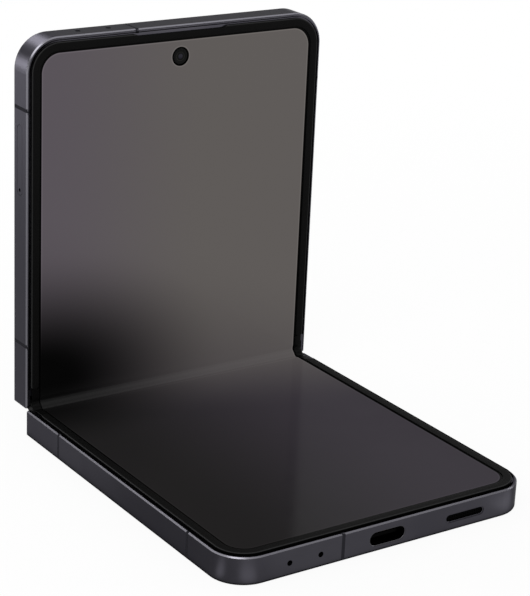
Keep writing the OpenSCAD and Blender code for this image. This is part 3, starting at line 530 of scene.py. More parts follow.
screen_picture, given, result = new_group(
    "screen_picture", [("Place", VECTOR)], [("Color", COLOUR)]
)
place = given["Place"]
across = add(screen_picture, "ShaderNodeSeparateXYZ", {0: place}).outputs["X"]
along = add(screen_picture, "ShaderNodeSeparateXYZ", {0: place}).outputs["Y"]
warmth = soft_step(screen_picture, across, *WARM_REACH)
upper_light = blended(screen_picture, warmth, MAUVE_GREY, WARM_GREY)
lower_dusk = blended(screen_picture, soft_step(screen_picture, across, *PLUM_REACH), DUSK, PLUM)
level = maths(screen_picture, "ADD", along, maths(screen_picture, "MULTIPLY", across, SLANT))
rise = soft_step(screen_picture, level, *RISE_REACH)
picture = blended(screen_picture, rise, lower_dusk, upper_light)
hollow = soft_field(screen_picture, place, HOLLOW_CENTRE, HOLLOW_SIZE, HOLLOW_HEART)
picture = blended(screen_picture, hollow, picture, NIGHT)
screen_picture.links.new(picture, result["Color"])
print("screen picture drawn over", LIT_SIDE * 2, "by", LIT_END * 2, "mm")

# %% The screen's finish
FILM_BLACK = rgb(0.0008, 0.0008, 0.0008)
FILM_LEVEL = 0.03
FILM_ROUGH = (0.11, 0.15)
COAT_ROUGH = 0.48
LIT_SOFT = 0.03
EDGE_HIGHLIGHT_REACH = (0.32, 0.16)
EDGE_HIGHLIGHT_GAIN = rgb(1.35, 1.35, 1.35)
CREASE_REACH = 5.0
CREASE_HEART = 0.5
CREASE_GLOSS = 0.36


def lit_screen():
    """Dark glossy film over a lit picture with a rounded edge."""
    name = "lit_screen"
    material, tree, shader = new_finish(name, FILM_BLACK, 0.12, Specular_IOR_Level=FILM_LEVEL)
    shader.inputs["Coat Roughness"].default_value = COAT_ROUGH
    shader.inputs["Emission Strength"].default_value = 1.0
    place = add(tree, "ShaderNodeAttribute", attribute_name="laid_place").outputs["Vector"]
    inner = (LIT_SIDE - LIT_CORNER, LIT_END - LIT_CORNER, 0)
    window = {"Place": place, "Inner": inner, "Corner": LIT_CORNER}
    from_edge = maths(tree, "MULTIPLY", use(tree, rounded_window, window)["Distance"], -1.0)
    ring = {"Place": place, "Centre": (0, front_s / MM, 0), "Pitch": 1.0}
    from_ring = maths(tree, "SUBTRACT", use(tree, turned_rings, ring)["Radius"], CAMERA_RING)
    depth = maths(tree, "MINIMUM", from_edge, from_ring)
    lit = soft_step(tree, depth, -LIT_SOFT, LIT_SOFT)
    # Painted highlight: a thin paler line just inside the lit edge stands in for the highlight along
    # the display's edge.
    line = soft_step(tree, depth, *EDGE_HIGHLIGHT_REACH)
    picture = use(tree, screen_picture, {"Place": place})["Color"]
    brighter = add(tree, "ShaderNodeMix", data_type="RGBA", blend_type="MULTIPLY")
    brighter.inputs[0].default_value = 1.0
    tree.links.new(picture, brighter.inputs[6])
    brighter.inputs[7].default_value = EDGE_HIGHLIGHT_GAIN
    bright = blended(tree, line, picture, brighter.outputs[2])
    feed(tree, shader, "Emission Color", blended(tree, lit, rgb(0, 0, 0), bright))
    along = add(tree, "ShaderNodeSeparateXYZ", {0: place}).outputs["Y"]
    from_fold = maths(tree, "ABSOLUTE", along)
    crease = soft_step(tree, from_fold, CREASE_REACH, CREASE_HEART, 0.0, CREASE_GLOSS)
    feed(tree, shader, "Coat Weight", maths(tree, "MULTIPLY", crease, lit))
    haze = use(tree, fine_grain, {"Place": place, "Scale": 2.0})
    feed_roughness(tree, shader, haze["Mottle"], WHOLE, FILM_ROUGH)
    return material


screen_finish = lit_screen()
print("screen finish:", screen_finish.name)

# %% [markdown]
# ## Making meshes
# Long pieces of one section are lofted: the section is a ring of points, it is set at many stations
# along a path, and neighbouring rings are joined with quads. The same helper makes the bezels, the
# strips and the bending display.


# %% Helpers that make pieces
DOUBLES = 1e-7


def new_piece(name, mesh, finish, part=None):
    """A finished mesh as an object at the origin, which rides on a part if one is named."""
    made = bpy.data.objects.new(name, mesh)
    bpy.context.scene.collection.objects.link(made)
    mesh.materials.clear()
    mesh.materials.append(finish)
    if part:
        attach(made, BODY[part])
    print("piece", name, "with", len(mesh.polygons), "faces")
    return made


def tidy_mesh(name, shell, crease=30):
    """Turns a bmesh into a mesh with faces outwards, smooth but for sharp edges."""
    bmesh.ops.recalc_face_normals(shell, faces=shell.faces)
    mesh = bpy.data.meshes.new(name)
    shell.to_mesh(mesh)
    shell.free()
    if "custom_normal" in mesh.attributes:
        mesh.attributes.remove(mesh.attributes["custom_normal"])
    mesh.shade_smooth()
    mesh.set_sharp_from_angle(angle=math.radians(crease))
    return mesh


def lofted(name, rings, closed=False):
    """Joins rings of points, each a list of places, into one closed surface."""
    shell = bmesh.new()
    verts = [[shell.verts.new(point) for point in ring] for ring in rings]
    pairs = list(zip(verts, verts[1:] + verts[:1])) if closed else list(zip(verts, verts[1:]))
    for first, second in pairs:
        for i in range(len(first)):
            j = (i + 1) % len(first)
            shell.faces.new((first[i], first[j], second[j], second[i]))
    if not closed:
        shell.faces.new(verts[0])
        shell.faces.new(verts[-1])
    return tidy_mesh(name, shell)


def merged_copy(node, name):
    """A CAD node's mesh with its loose triangles joined to one surface."""
    shell = bmesh.new()
    shell.from_mesh(nodes[node].data)
    bmesh.ops.remove_doubles(shell, verts=shell.verts, dist=DOUBLES)
    return tidy_mesh(name, shell)


def mark_laid_place(mesh, places):
    """Keeps the laid-open place of each point, in millimetres, for the screen's picture."""
    kept = mesh.attributes.new("laid_place", "FLOAT_VECTOR", "POINT")
    kept.data.foreach_set("vector", np.asarray(places, np.float32).ravel())


print("piece helpers ready")

# %% [markdown]
# The two flat sheets of the display are the solids' own meshes with their triangles joined. Each
# point keeps its laid-open place, where the screen's finish looks up its picture.

# %% Lay the two flat sheets
for part, node in (("lower", "display_lower"), ("upper", "display_upper")):
    mesh = merged_copy(node, "flat_display_" + part)
    back = LAID[part].inverted()
    mark_laid_place(mesh, [list((back @ vertex.co) / MM) for vertex in mesh.vertices])
    sheet = new_piece(mesh.name, mesh, screen_finish, part)
    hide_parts(node)

# %% [markdown]
# ## The bending stretch of the display
# Between the two flat sheets the display has to bend, and to come out flat when the phone opens.
# A simple arc would tear or bulge, because a point that bends turns about the hinge axis by its
# share of the fold. So each point is worked backwards: it starts on the flat phone, and its share
# is found by halving until the share that its rest place earns is the share that put it there.

# %% Find where each point of the bend rests
BEND_ZONE = 2.3 * MM
HALVINGS = 40


def turn_points(points, centre, angles):
    """Turns each point about a line along X through centre, by its own angle."""
    y = points[:, 1] - centre.y
    z = points[:, 2] - centre.z
    turned_y = centre.y + y * np.cos(angles) - z * np.sin(angles)
    turned_z = centre.z + y * np.sin(angles) + z * np.cos(angles)
    return np.stack((points[:, 0], turned_y, turned_z), axis=1)


def rest_places(flat_points, part, share):
    """Rest places of flat points that take this share of the fold."""
    points = flat_points + np.array((0, hinge_y, 0))
    if part == "lower":
        return turn_points(points, lower_axis, share * half_turn)
    folded = turn_points(points, flat_upper_axis, share * half_turn)
    return turn_points(folded, lower_axis, np.full(len(points), half_turn))


middle = LAID["spine"] @ Vector((0, 0, display_top))
BEND_START = {"lower": LAID["lower"] @ Vector((0, -BEND_ZONE, display_top)), "upper": middle}
BEND_END = {"lower": middle, "upper": LAID["upper"] @ Vector((0, BEND_ZONE, display_top))}


def bend_to_rest(flat_points, part):
    """Solves for the share of each flat point and gives its rest place."""
    flat_points = np.array(flat_points, float)
    start = np.array(BEND_START[part])
    way = np.array(BEND_END[part]) - start
    low = np.zeros(len(flat_points))
    high = np.ones(len(flat_points))
    for _ in range(HALVINGS):
        share = (low + high) / 2
        along = np.clip((rest_places(flat_points, part, share) - start) @ way / (way @ way), 0, 1)
        earned = along * along * (3 - 2 * along)
        low = np.where(earned > share, share, low)
        high = np.where(earned > share, high, share)
    share = np.round((low + high) / 2, 9)
    return rest_places(flat_points, part, share)


bend_from = [round(v / MM, 2) for v in BEND_START["lower"]]
print("bend from", bend_from, "to", [round(v / MM, 2) for v in middle])

# %% Loft the bending display and the soft strips over it
BEND_STATIONS = 40
STRIP_GAP = 0.9 * MM
STRIP_WIDTH = 1.7 * MM
STRIP_LOWER = 0.05 * MM
LIP_GAP = 0.03 * MM
END_PLAY = 0.02 * MM


def bending_piece(name, part, section, reach, finish):
    """Lofts a section from the fold line to reach, bent for the half open phone."""
    steps = [reach * step / BEND_STATIONS for step in range(BEND_STATIONS + 1)]
    flat_rings = [[(x, SIGN[part] * step, z) for x, z in section] for step in steps]
    flat_points = [point for ring in flat_rings for point in ring]
    rest = bend_to_rest(flat_points, part)
    rings = rest.reshape(len(steps), len(section), 3).tolist()
    mesh = lofted(name, rings)
    mark_laid_place(mesh, np.array(flat_points) / MM)
    made = new_piece(name, mesh, finish)
    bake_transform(made)
    return made


sheet_section = [
    (-display_side, display_bottom),
    (display_side, display_bottom),
    (display_side, display_top),
    (-display_side, display_top),
]
bends = [
    bending_piece("bend_display_" + part, part, sheet_section, fold_half, screen_finish)
    for part in PARTS
]
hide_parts("display_fold")

# %% [markdown]
# ## Bezels
# A raised frame of satin black plastic is glued round the screen of each half. It stands on the
# rail and its lip covers the edge of the display. Its outer top edge is well rounded and its inner
# one hardly, the ends near the fold are rounded in plan, and the upper one has a long shallow gap
# that lets the sound of the earpiece out. It follows a path of one rule: in from the outline by
# the same amount everywhere, so it is lofted along that outline.

# %% Path round a half, and the bezel's section
BEZEL_WIDTH = 1.9 * MM
RAIL_WALL = 1.7 * MM
BEZEL_REACH = 2.48 * MM
OUTER_ROUND = 0.18 * MM
INNER_ROUND = 0.1 * MM
PLAN_ROUND = 0.7 * MM
CORNER_STEPS = 24
GAP_LENGTH = 23.6 * MM
GAP_SLANT = 1.2 * MM
GAP_DEPTH = 0.45 * MM


def arc(centre, radius, start, end, steps):
    """Points on an arc, from start to end in degrees."""
    angles = [math.radians(start + (end - start) * i / steps) for i in range(steps + 1)]
    return [(centre[0] + radius * math.cos(a), centre[1] + radius * math.sin(a)) for a in angles]


def half_path(first_s, extra_s=(), extra_x=()):
    """Stations round a half from right to left: a place on the outline and the way outwards."""
    straight = half_l - CORNER_RADIUS
    turn_x = half_w - CORNER_RADIUS
    along_side = sorted({first_s, straight, *extra_s})
    stations = [((half_w, s), (1.0, 0.0)) for s in along_side]
    for i in range(1, CORNER_STEPS):
        a = math.pi / 2 * i / CORNER_STEPS
        out = (math.cos(a), math.sin(a))
        spot = (turn_x + CORNER_RADIUS * out[0], straight + CORNER_RADIUS * out[1])
        stations.append((spot, out))
    along_end = sorted({turn_x, -turn_x, *extra_x}, reverse=True)
    stations += [((x, half_l), (0.0, 1.0)) for x in along_end]
    for i in range(1, CORNER_STEPS):
        a = math.pi / 2 + math.pi / 2 * i / CORNER_STEPS
        out = (math.cos(a), math.sin(a))
        spot = (-turn_x + CORNER_RADIUS * out[0], straight + CORNER_RADIUS * out[1])
        stations.append((spot, out))
    stations += [((-half_w, s), (-1.0, 0.0)) for s in reversed(along_side)]
    return stations


inner_edge = bezel_inset + BEZEL_REACH
outer_edge = inner_edge - BEZEL_WIDTH
lip_z = display_top + LIP_GAP
bezel_section = [
    (outer_edge, rail_h),
    (RAIL_WALL, rail_h),
    (RAIL_WALL, lip_z),
    (inner_edge, lip_z),
    *arc((inner_edge - INNER_ROUND, bezel_top - INNER_ROUND), INNER_ROUND, 0, 90, 4),
    *arc((outer_edge + OUTER_ROUND, bezel_top - OUTER_ROUND), OUTER_ROUND, 90, 180, 8),
]
print("bezel section has", len(bezel_section), "points")

# %% [markdown]
# The rounded ends come from squeezing the section towards its middle over the last stretch of the
# path, by the height of a quarter circle, and the sound gap from pushing its outer side inwards.

# %% Shape the bezels
ROUND_STEPS = 8
GAP_STATIONS = 4


def squeezed(inset, distance, cut):
    """Inset of a section point near the path's end, or where the sound gap cuts in."""
    centre = outer_edge + BEZEL_WIDTH / 2
    lost = 0.0
    if distance < PLAN_ROUND:
        lost = PLAN_ROUND - math.sqrt(max(PLAN_ROUND**2 - (PLAN_ROUND - distance) ** 2, 0))
    scale = 1 - lost / (BEZEL_WIDTH / 2)
    inset = centre + (inset - centre) * scale
    share = (inner_edge - inset) / BEZEL_WIDTH
    return inset + cut * share


def gap_cut(x):
    """How deep the sound gap cuts in at a place along the free end."""
    slope = (GAP_LENGTH / 2 - abs(x)) / GAP_SLANT
    return GAP_DEPTH * min(max(slope, 0.0), 1.0)


def bezel_piece(part):
    """The bezel of one half, in place."""
    near_end = [
        bezel_end + PLAN_ROUND * (1 - math.cos(math.pi / 2 * i / ROUND_STEPS))
        for i in range(ROUND_STEPS + 1)
    ]
    gap_x = []
    if part == "upper":
        inner = GAP_LENGTH / 2 - GAP_SLANT
        ends = [inner + GAP_SLANT * i / GAP_STATIONS for i in range(GAP_STATIONS + 1)]
        gap_x = ends + [-x for x in ends]
    rings = []
    for (x, s), (out_x, out_s) in half_path(bezel_end, near_end, gap_x):
        distance = s - bezel_end if out_s == 0 else half_l
        cut = gap_cut(x) if part == "upper" and out_x == 0 else 0.0
        ring = []
        for inset, z in bezel_section:
            inset = squeezed(inset, distance, cut)
            spot = Vector((x - inset * out_x, SIGN[part] * (s - inset * out_s), z))
            ring.append(LAID[part] @ spot)
        rings.append(ring)
    return lofted(part + "_bezel_rim", rings)


print("sound gap:", round(GAP_LENGTH / MM, 1), "by", round(GAP_DEPTH / MM, 2), "mm")

# %% [markdown]
# The plastic is nearly black. Where its outer edge is rounded over it would catch the light, so a
# painted highlight, a slightly paler tone, lies on faces that look up close to that edge.

# %% Finish and place both bezels
BEZEL_LEVEL = 0.025
BEZEL_BLACK = rgb(0.005, 0.005, 0.005)
BEZEL_HIGHLIGHT = rgb(0.027, 0.027, 0.0275)
EDGE_FROM = -outer_edge / MM - 0.32
EDGE_TO = -outer_edge / MM - 0.12
EDGE_FACING = (0.3, 0.6)
BEZEL_ROUGH = (0.38, 0.46)
BEZEL_DEPTH = 0.0015 * MM


def bezel_black(part):
    """Satin black plastic, with a painted highlight where its outer edge is rounded over."""
    name = "bezel_black_" + part
    material, tree, shader = new_finish(name, BEZEL_BLACK, 0.42, Specular_IOR_Level=BEZEL_LEVEL)
    place = laid_place(tree, part)
    inner = ((half_w - CORNER_RADIUS) / MM, (half_l - CORNER_RADIUS) / MM, 0)
    outline = {"Place": place, "Inner": inner, "Corner": CORNER_RADIUS / MM}
    inset = use(tree, rounded_window, outline)["Distance"]
    facing = add(tree, "ShaderNodeSeparateXYZ", {0: laid_normal(tree, part)}).outputs["Z"]
    upright = soft_step(tree, facing, *EDGE_FACING)
    # Painted highlight: a paler tone on upward faces near the rounded outer edge.
    painted_edge_highlight = maths(tree, "MULTIPLY", soft_step(tree, inset, EDGE_FROM, EDGE_TO), upright)
    grain = use(tree, fine_grain, {"Place": place, "Scale": 8.0})
    feed(tree, shader, "Base Color", blended(tree, painted_edge_highlight, BEZEL_BLACK, BEZEL_HIGHLIGHT))
    feed_roughness(tree, shader, grain["Height"], GRIT, BEZEL_ROUGH)
    feed_bump(tree, shader, grain["Height"], BEZEL_DEPTH)
    return material


for part in PARTS:
    mesh = bezel_piece(part)
    rim = new_piece(mesh.name, mesh, bezel_black(part), part)
    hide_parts(part + "_bezel")

# %% [markdown]
# ## Soft strips at the fold
# Near the fold the stiff bezel has to stop. A soft strip at each side carries it on over the edge
# of the display and bends with it, so it is made with the same backwards bending as the display.

# %% Bend the four half strips
strip_out = half_w - bezel_inset - STRIP_GAP
strip_in = strip_out - STRIP_WIDTH
strip_top = bezel_top - STRIP_LOWER
STRIP_ROUND = 0.08 * MM
STRIP_BLACK = rgb(0.003, 0.003, 0.003)
STRIP_ROUGH = (0.28, 0.4)
STRIP_DEPTH = 0.002 * MM
strip_finish, tree, shader = new_finish("soft_strip", STRIP_BLACK, 0.28, Specular_IOR_Level=0.05)
strip_place = add(tree, "ShaderNodeAttribute", attribute_name="laid_place").outputs["Vector"]
strip_grain = use(tree, fine_grain, {"Place": strip_place, "Scale": 6.0})
feed_roughness(tree, shader, strip_grain["Height"], GRIT, STRIP_ROUGH)
feed_bump(tree, shader, strip_grain["Height"], STRIP_DEPTH)

strip_section = [
    (strip_in, lip_z),
    (strip_out, lip_z),
    *arc((strip_out - STRIP_ROUND, strip_top - STRIP_ROUND), STRIP_ROUND, 0, 90, 4),
    *arc((strip_in + STRIP_ROUND, strip_top - STRIP_ROUND), STRIP_ROUND, 90, 180, 4),
]
for side_name, way in (("right", 1), ("left", -1)):
    section = [(way * x, z) for x, z in strip_section]
    for part in PARTS:
        name = f"fold_strip_{side_name}_{part}"
        reach = bezel_end - END_PLAY
        bending_piece(name, part, section, reach, strip_finish)
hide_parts("fold_bezel_strips")

# %% [markdown]
# ## Rolled edge of the rail
# The cutter that slants the rail's front edge leaves a fine rolled lip on its inner side, which
# widens the bright line. It is lofted along the outline with a section that rises inwards, and at
# the antenna breaks its faces take the polymer, as the break runs through the lip too.

# %% Loft the rolled edge of both rails
LIP_FROM = 0.23 * MM
LIP_CREST = {"lower": 0.29 * MM, "upper": 0.36 * MM}
LIP_TO = {"lower": 0.34 * MM, "upper": 0.42 * MM}
LIP_HEIGHT = {"lower": 0.035 * MM, "upper": 0.08 * MM}
LIP_RISE = {"foot": 0.6, "crest": 0.95, "back": 0.8}
LIP_START = 0.6 * MM
SUNK = 0.01 * MM
BREAK_WIDTH = 0.8 * MM
BREAKS = (14.3 * MM, 67.6 * MM)
BREAK_X = -11.4 * MM


def lip_section(part):
    """The lip's outline: it rises inwards to its crest and drops behind it."""
    crest, end, height = LIP_CREST[part], LIP_TO[part], LIP_HEIGHT[part]
    return [
        (LIP_FROM, rail_h - SUNK),
        (end, rail_h - SUNK),
        (end, rail_h + LIP_RISE["back"] * height),
        ((end + crest) / 2, rail_h + height),
        (crest, rail_h + LIP_RISE["crest"] * height),
        ((LIP_FROM + crest) / 2, rail_h + LIP_RISE["foot"] * height),
    ]


def in_break(place):
    """True for a laid place inside one of a half's antenna breaks."""
    reach = BREAK_WIDTH / 2
    at_side = any(abs(abs(place.y) - s) < reach for s in BREAKS) and abs(place.x) > half_w / 2
    return at_side or (abs(place.x - BREAK_X) < reach and abs(place.y) > half_l - MM)


for part in PARTS:
    cuts_s = [s + way * BREAK_WIDTH / 2 for s in BREAKS for way in (-1, 1)]
    cuts_x = [BREAK_X - BREAK_WIDTH / 2, BREAK_X + BREAK_WIDTH / 2]
    rings = []
    for (x, s), (out_x, out_s) in half_path(LIP_START, cuts_s, cuts_x):
        ring = []
        for inset, z in lip_section(part):
            spot = Vector((x - inset * out_x, SIGN[part] * (s - inset * out_s), z))
            ring.append(LAID[part] @ spot)
        rings.append(ring)
    mesh = lofted("rolled_edge_" + part, rings)
    lip = new_piece(mesh.name, mesh, rail_finish[part], part)
    mesh.materials.append(polymer_finish[part])
    back = LAID[part].inverted()
    for face in mesh.polygons:
        face.material_index = int(in_break(back @ face.center))

# %% [markdown]
# ## Inlays of the lower rail's far breaks
# Near the free end the lower rail has a second pair of breaks. Here the polymer is a thin inlay over
# the metal's face, so one narrow section, a hair proud of the rail, is lofted over the break's width.

# %% Lay the two inlays
PROUD = 0.012 * MM
INLAY_DEPTH = 0.1 * MM
FOOT = 0.18 * MM

inlay_section = [
    (FOOT - PROUD, FOOT - PROUD),
    (-PROUD, BACK_ROUND),
    (-PROUD, rail_h - FRONT_BEVEL),
    (FRONT_BEVEL - PROUD, rail_h + PROUD),
    (FRONT_BEVEL + INLAY_DEPTH, rail_h - FRONT_BEVEL),
    (INLAY_DEPTH + FOOT, BACK_ROUND),
]
for side_name, way in (("right", 1), ("left", -1)):
    rings = []
    for s in (BREAKS[1] - BREAK_WIDTH / 2, BREAKS[1] + BREAK_WIDTH / 2):
        spots = [Vector((way * (half_w - inset), -s, z)) for inset, z in inlay_section]
        rings.append([LAID["lower"] @ spot for spot in spots])
    mesh = lofted("far_break_" + side_name, rings)
    new_piece(mesh.name, mesh, polymer_finish["lower"], "lower")

# %% [markdown]
# ## Dark band round each screen
# A thin near-black band fills the step between the bright cut edge of the rail and the
# bezel. It is painted shade: a dark sheet put where that gap lies in shade. It is one small
# rectangle swept along the outline, which is what Geometry Nodes are good at: a curve goes in,
# Curve to Mesh sweeps the profile, and width and height stay named inputs. A second tree sweeps a
# ring, for the rims further on.


# %% Helpers for Geometry Nodes trees
def new_growth(name, inputs):
    """An empty Geometry Nodes tree with geometry in and out and named inputs."""
    tree = bpy.data.node_groups.new(name, "GeometryNodeTree")
    tree.interface.new_socket("Geometry", in_out="INPUT", socket_type="NodeSocketGeometry")
    for label, kind in inputs:
        tree.interface.new_socket(label, in_out="INPUT", socket_type="NodeSocket" + kind)
    tree.interface.new_socket("Geometry", in_out="OUTPUT", socket_type="NodeSocketGeometry")
    return tree, tree.nodes.new("NodeGroupInput").outputs


def close_growth(tree, geometry, finish):
    """Ends a tree in plain faces with their finish."""
    plain = add(tree, "GeometryNodeRealizeInstances", {0: geometry})
    dressed = add(tree, "GeometryNodeSetMaterial", {"Geometry": plain.outputs[0], "Material": finish})
    tree.links.new(dressed.outputs[0], tree.nodes.new("NodeGroupOutput").inputs[0])


def grown(source, tree, settings):
    """Runs a tree on an object with these inputs and gives the result as a plain mesh."""
    modifier = source.modifiers.new("growth", "NODES")
    modifier.node_group = tree
    for item in tree.interface.items_tree:
        if item.in_out == "INPUT" and item.name in settings:
            modifier[item.identifier] = settings[item.name]
    bpy.context.view_layer.update()
    ready = source.evaluated_get(bpy.context.evaluated_depsgraph_get())
    mesh = bpy.data.meshes.new_from_object(ready)
    source.modifiers.remove(modifier)
    bpy.data.objects.remove(source)
    return mesh


print("tree helpers ready")

# %% [markdown]
# The two trees differ in one step, their profile. So one function makes a tree and is handed the
# function that adds the profile.

# %% Two trees that sweep a profile
SWEEP_INPUTS = (("Width", "Float"), ("Height", "Float"), ("Finish", "Material"))
WIRE_SIDES = 8


def sweep_tree(name, add_profile):
    """A tree that sweeps the profile that add_profile makes along a curve."""
    tree, given = new_growth(name, SWEEP_INPUTS)
    upright = add(tree, "GeometryNodeSetCurveNormal", {"Curve": given["Geometry"]}, mode="Z_UP")
    profile = add_profile(tree, given).outputs[0]
    inputs = {"Curve": upright.outputs[0], "Profile Curve": profile, "Fill Caps": True}
    swept = add(tree, "GeometryNodeCurveToMesh", inputs)
    close_growth(tree, swept.outputs[0], given["Finish"])
    return tree


def flat_profile(tree, given):
    """A rectangle whose height stands upright."""
    inputs = {"Width": given["Height"], "Height": given["Width"]}
    return add(tree, "GeometryNodeCurvePrimitiveQuadrilateral", inputs)


def round_profile(tree, given):
    """A ring as thick as the width."""
    radius = maths(tree, "MULTIPLY", given["Width"], 0.5)
    inputs = {"Resolution": WIRE_SIDES, "Radius": radius}
    return add(tree, "GeometryNodeCurvePrimitiveCircle", inputs)


swept_band = sweep_tree("swept_band", flat_profile)
swept_wire = sweep_tree("swept_wire", round_profile)
print("sweep trees:", swept_band.name, swept_wire.name)

# %% Sweep the painted-shade band round both halves
GAP_SHADE_HEIGHT = 0.04 * MM
GAP_SHADE_BLACK = rgb(0.0008, 0.0008, 0.0008)
GAP_SHADE_LOOK = {"roughness": 0.5, "scale": 6.0, "depth": 0.002 * MM, "level": 0.0}


def path_curve(name, points):
    """A curve object through points, which a tree can sweep along."""
    curve = bpy.data.curves.new(name, "CURVE")
    curve.dimensions = "3D"
    spline = curve.splines.new("POLY")
    spline.points.add(len(points) - 1)
    for point, place in zip(spline.points, points):
        point.co = (*place, 1.0)
    made = bpy.data.objects.new(name, curve)
    bpy.context.scene.collection.objects.link(made)
    return made


# Painted shade: each band is a near-black sheet over the rail's top, where the gap between rail edge
# and bezel lies in shade.
for part in PARTS:
    gap_shade_black = moulded("gap_shade_black_" + part, part, GAP_SHADE_BLACK, **GAP_SHADE_LOOK)
    gap_shade_width = outer_edge - LIP_TO[part]
    inset = outer_edge - gap_shade_width / 2
    height = rail_h + GAP_SHADE_HEIGHT / 2
    line = [
        (x - inset * out_x, SIGN[part] * (s - inset * out_s), height)
        for (x, s), (out_x, out_s) in half_path(bezel_end)
    ]
    settings = {"Width": gap_shade_width, "Height": GAP_SHADE_HEIGHT, "Finish": gap_shade_black}
    mesh = grown(path_curve("gap_shade_path_" + part, line), swept_band, settings)
    mesh.transform(LAID[part])
    new_piece("screen_gap_shade_" + part, mesh, gap_shade_black, part)

# %% [markdown]
# ## Front camera
# Behind the round hole in the screen sits a tiny lens in a black cone. It is a turned shape, so a
# profile of radius and height is spun round its axis: an outer rim, a low cone and a domed lens.
# The finish knows the distance from the axis, so it can give the lens its coloured coating.

# %% Helpers for turned pieces and lens finishes
TURN_STEPS = 64
LENS_BLACK = rgb(0.0042, 0.0042, 0.0042)
LENS_COATING = rgb(0.006, 0.0045, 0.013)
RIM_GREY = rgb(0.016, 0.016, 0.015)
LENS_ROUGH = (0.35, 0.08)
LENS_DEPTH = 0.004 * MM
LENS_COAT = 0.35
COAT_POLISH = 0.04
RIM_REACH = (0.1, 0.04)
GLASS_SOFT = 0.12


def spun(name, profile, centre, part):
    """Spins a profile of radius and height in millimetres round an upright axis of a half."""
    angles = [2 * math.pi * i / TURN_STEPS for i in range(TURN_STEPS)]
    rings = []
    for radius, z in profile:
        ring = []
        for a in angles:
            x = centre[0] + radius * MM * math.cos(a)
            s = centre[1] + radius * MM * math.sin(a)
            ring.append(LAID[part] @ Vector((x, s, z * MM)))
        rings.append(ring)
    return lofted(name, rings)


def lens_finish(name, part, glass_radius, rim_radius):
    """Black lens barrel with a coated lens in its middle and a paler line at the rim."""
    material, tree, shader = new_finish(name, LENS_BLACK, 0.3, Specular_IOR_Level=0.06)
    shader.inputs["Coat Roughness"].default_value = COAT_POLISH
    place = laid_place(tree, part)
    rings = use(tree, turned_rings, {"Place": place, "Centre": (0, front_s / MM, 0), "Pitch": 0.3})
    inside = soft_step(tree, rings["Radius"], glass_radius, glass_radius - GLASS_SOFT)
    from_rim = maths(tree, "ABSOLUTE", maths(tree, "SUBTRACT", rings["Radius"], rim_radius))
    rim = soft_step(tree, from_rim, *RIM_REACH)
    coloured = blended(tree, inside, LENS_BLACK, LENS_COATING)
    feed(tree, shader, "Base Color", blended(tree, rim, coloured, RIM_GREY))
    feed(tree, shader, "Coat Weight", maths(tree, "MULTIPLY", inside, LENS_COAT))
    feed_roughness(tree, shader, inside, WHOLE, LENS_ROUGH)
    outside = maths(tree, "SUBTRACT", 1.0, inside)
    feed_bump(tree, shader, maths(tree, "MULTIPLY", rings["Height"], outside), LENS_DEPTH)
    return material


print("lens helpers ready")

# %% [markdown]
# The profile starts and ends close to the axis, and the loft closes the two small rings that are
# left. Its heights are counted from just under the top of the display.

# %% Turn the front lens
FRONT_GLASS = 0.62
FRONT_RIM = 0.98
LENS_DROP = 0.1
front_centre = (0.0, front_s)
lens_top = display_top / MM - LENS_DROP
front_profile = [
    (0.05, lens_top + 0.002),
    (1.72, lens_top + 0.002),
    (1.72, lens_top + 0.05),
    (1.62, lens_top + 0.07),
    (1.0, lens_top + 0.04),
    (0.95, lens_top + 0.02),
    *((0.9 * math.sin(a), lens_top + 0.02 + 0.05 * math.cos(a)) for a in (1.5, 1.2, 0.9, 0.6, 0.3)),
    (0.05, lens_top + 0.07),
]
front_finish = lens_finish("front_lens_black", "upper", FRONT_GLASS, FRONT_RIM)
mesh = spun("front_lens", front_profile, front_centre, "upper")
new_piece("front_lens", mesh, front_finish, "upper")

# %% [markdown]
# ## Rear cameras
# Each rear camera is a black barrel under a flat cover glass, held by a turned metal ring. The
# solid barrel is plain, so it is spun again with what one sees through the glass: a flat mask, a
# stepped cone and a domed lens with a coloured coating. Both barrels are one mesh, as they are one
# moulded module.

# %% Places and profile of the rear cameras
camera_low, camera_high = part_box("camera_rings")
RING_RADIUS = 6.6 * MM
CAMERA_IN = 12.5 * MM
camera_s = half_l - CAMERA_IN
camera_x = (camera_high.x - RING_RADIUS, camera_low.x + RING_RADIUS)
between_x = (camera_x[0] + camera_x[1]) / 2
barrel_profile = [
    (0.05, 4.8),
    (6.2, 4.8),
    (6.2, 1.27),
    (4.3, 1.27),
    (4.3, -0.79),
    (3.78, -0.79),
    (3.66, -0.7),
    (3.6, -0.45),
    (3.0, 0.15),
    (2.95, 0.35),
    (2.5, 0.75),
    (2.45, 0.95),
    *((2.4 * math.sin(a), 1.45 - 0.75 * math.cos(a)) for a in (1.45, 1.2, 0.95, 0.7, 0.45, 0.2)),
    (0.05, 0.7),
]


def mirrored_place(tree, part, about):
    """Laid place with x measured from a middle line, so that one centre serves a pair."""
    shifted = vectors(tree, "SUBTRACT", laid_place(tree, part), (about, 0, 0))
    parts = add(tree, "ShaderNodeSeparateXYZ", {0: shifted}).outputs
    folded = {"X": maths(tree, "ABSOLUTE", parts[0]), "Y": parts[1], "Z": parts[2]}
    return add(tree, "ShaderNodeCombineXYZ", folded).outputs[0]


pair_centre = ((camera_x[0] - between_x) / MM, camera_s / MM, 0)
print("camera centres at", [round(x / MM, 2) for x in camera_x], round(camera_s / MM, 2))

# %% [markdown]
# Both barrels share one finish. Its x is measured from the middle line between them and loses its
# sign, so rings round one centre serve both axes.

# %% Spin both rear barrels
GLASS_RIM = (2.42, 2.3)
PUPIL_RIM = (1.1, 0.7)
PUPIL_BLACK = rgb(0.002, 0.002, 0.003)
BARREL_RIM = 3.72
BARREL_REACH = (0.1, 0.05)
BARREL_POLISH = 0.03
BARREL_GREY = rgb(0.12, 0.12, 0.125)
BARREL_ROUGH = (0.38, 0.05)
BARREL_DEPTH = 0.006 * MM


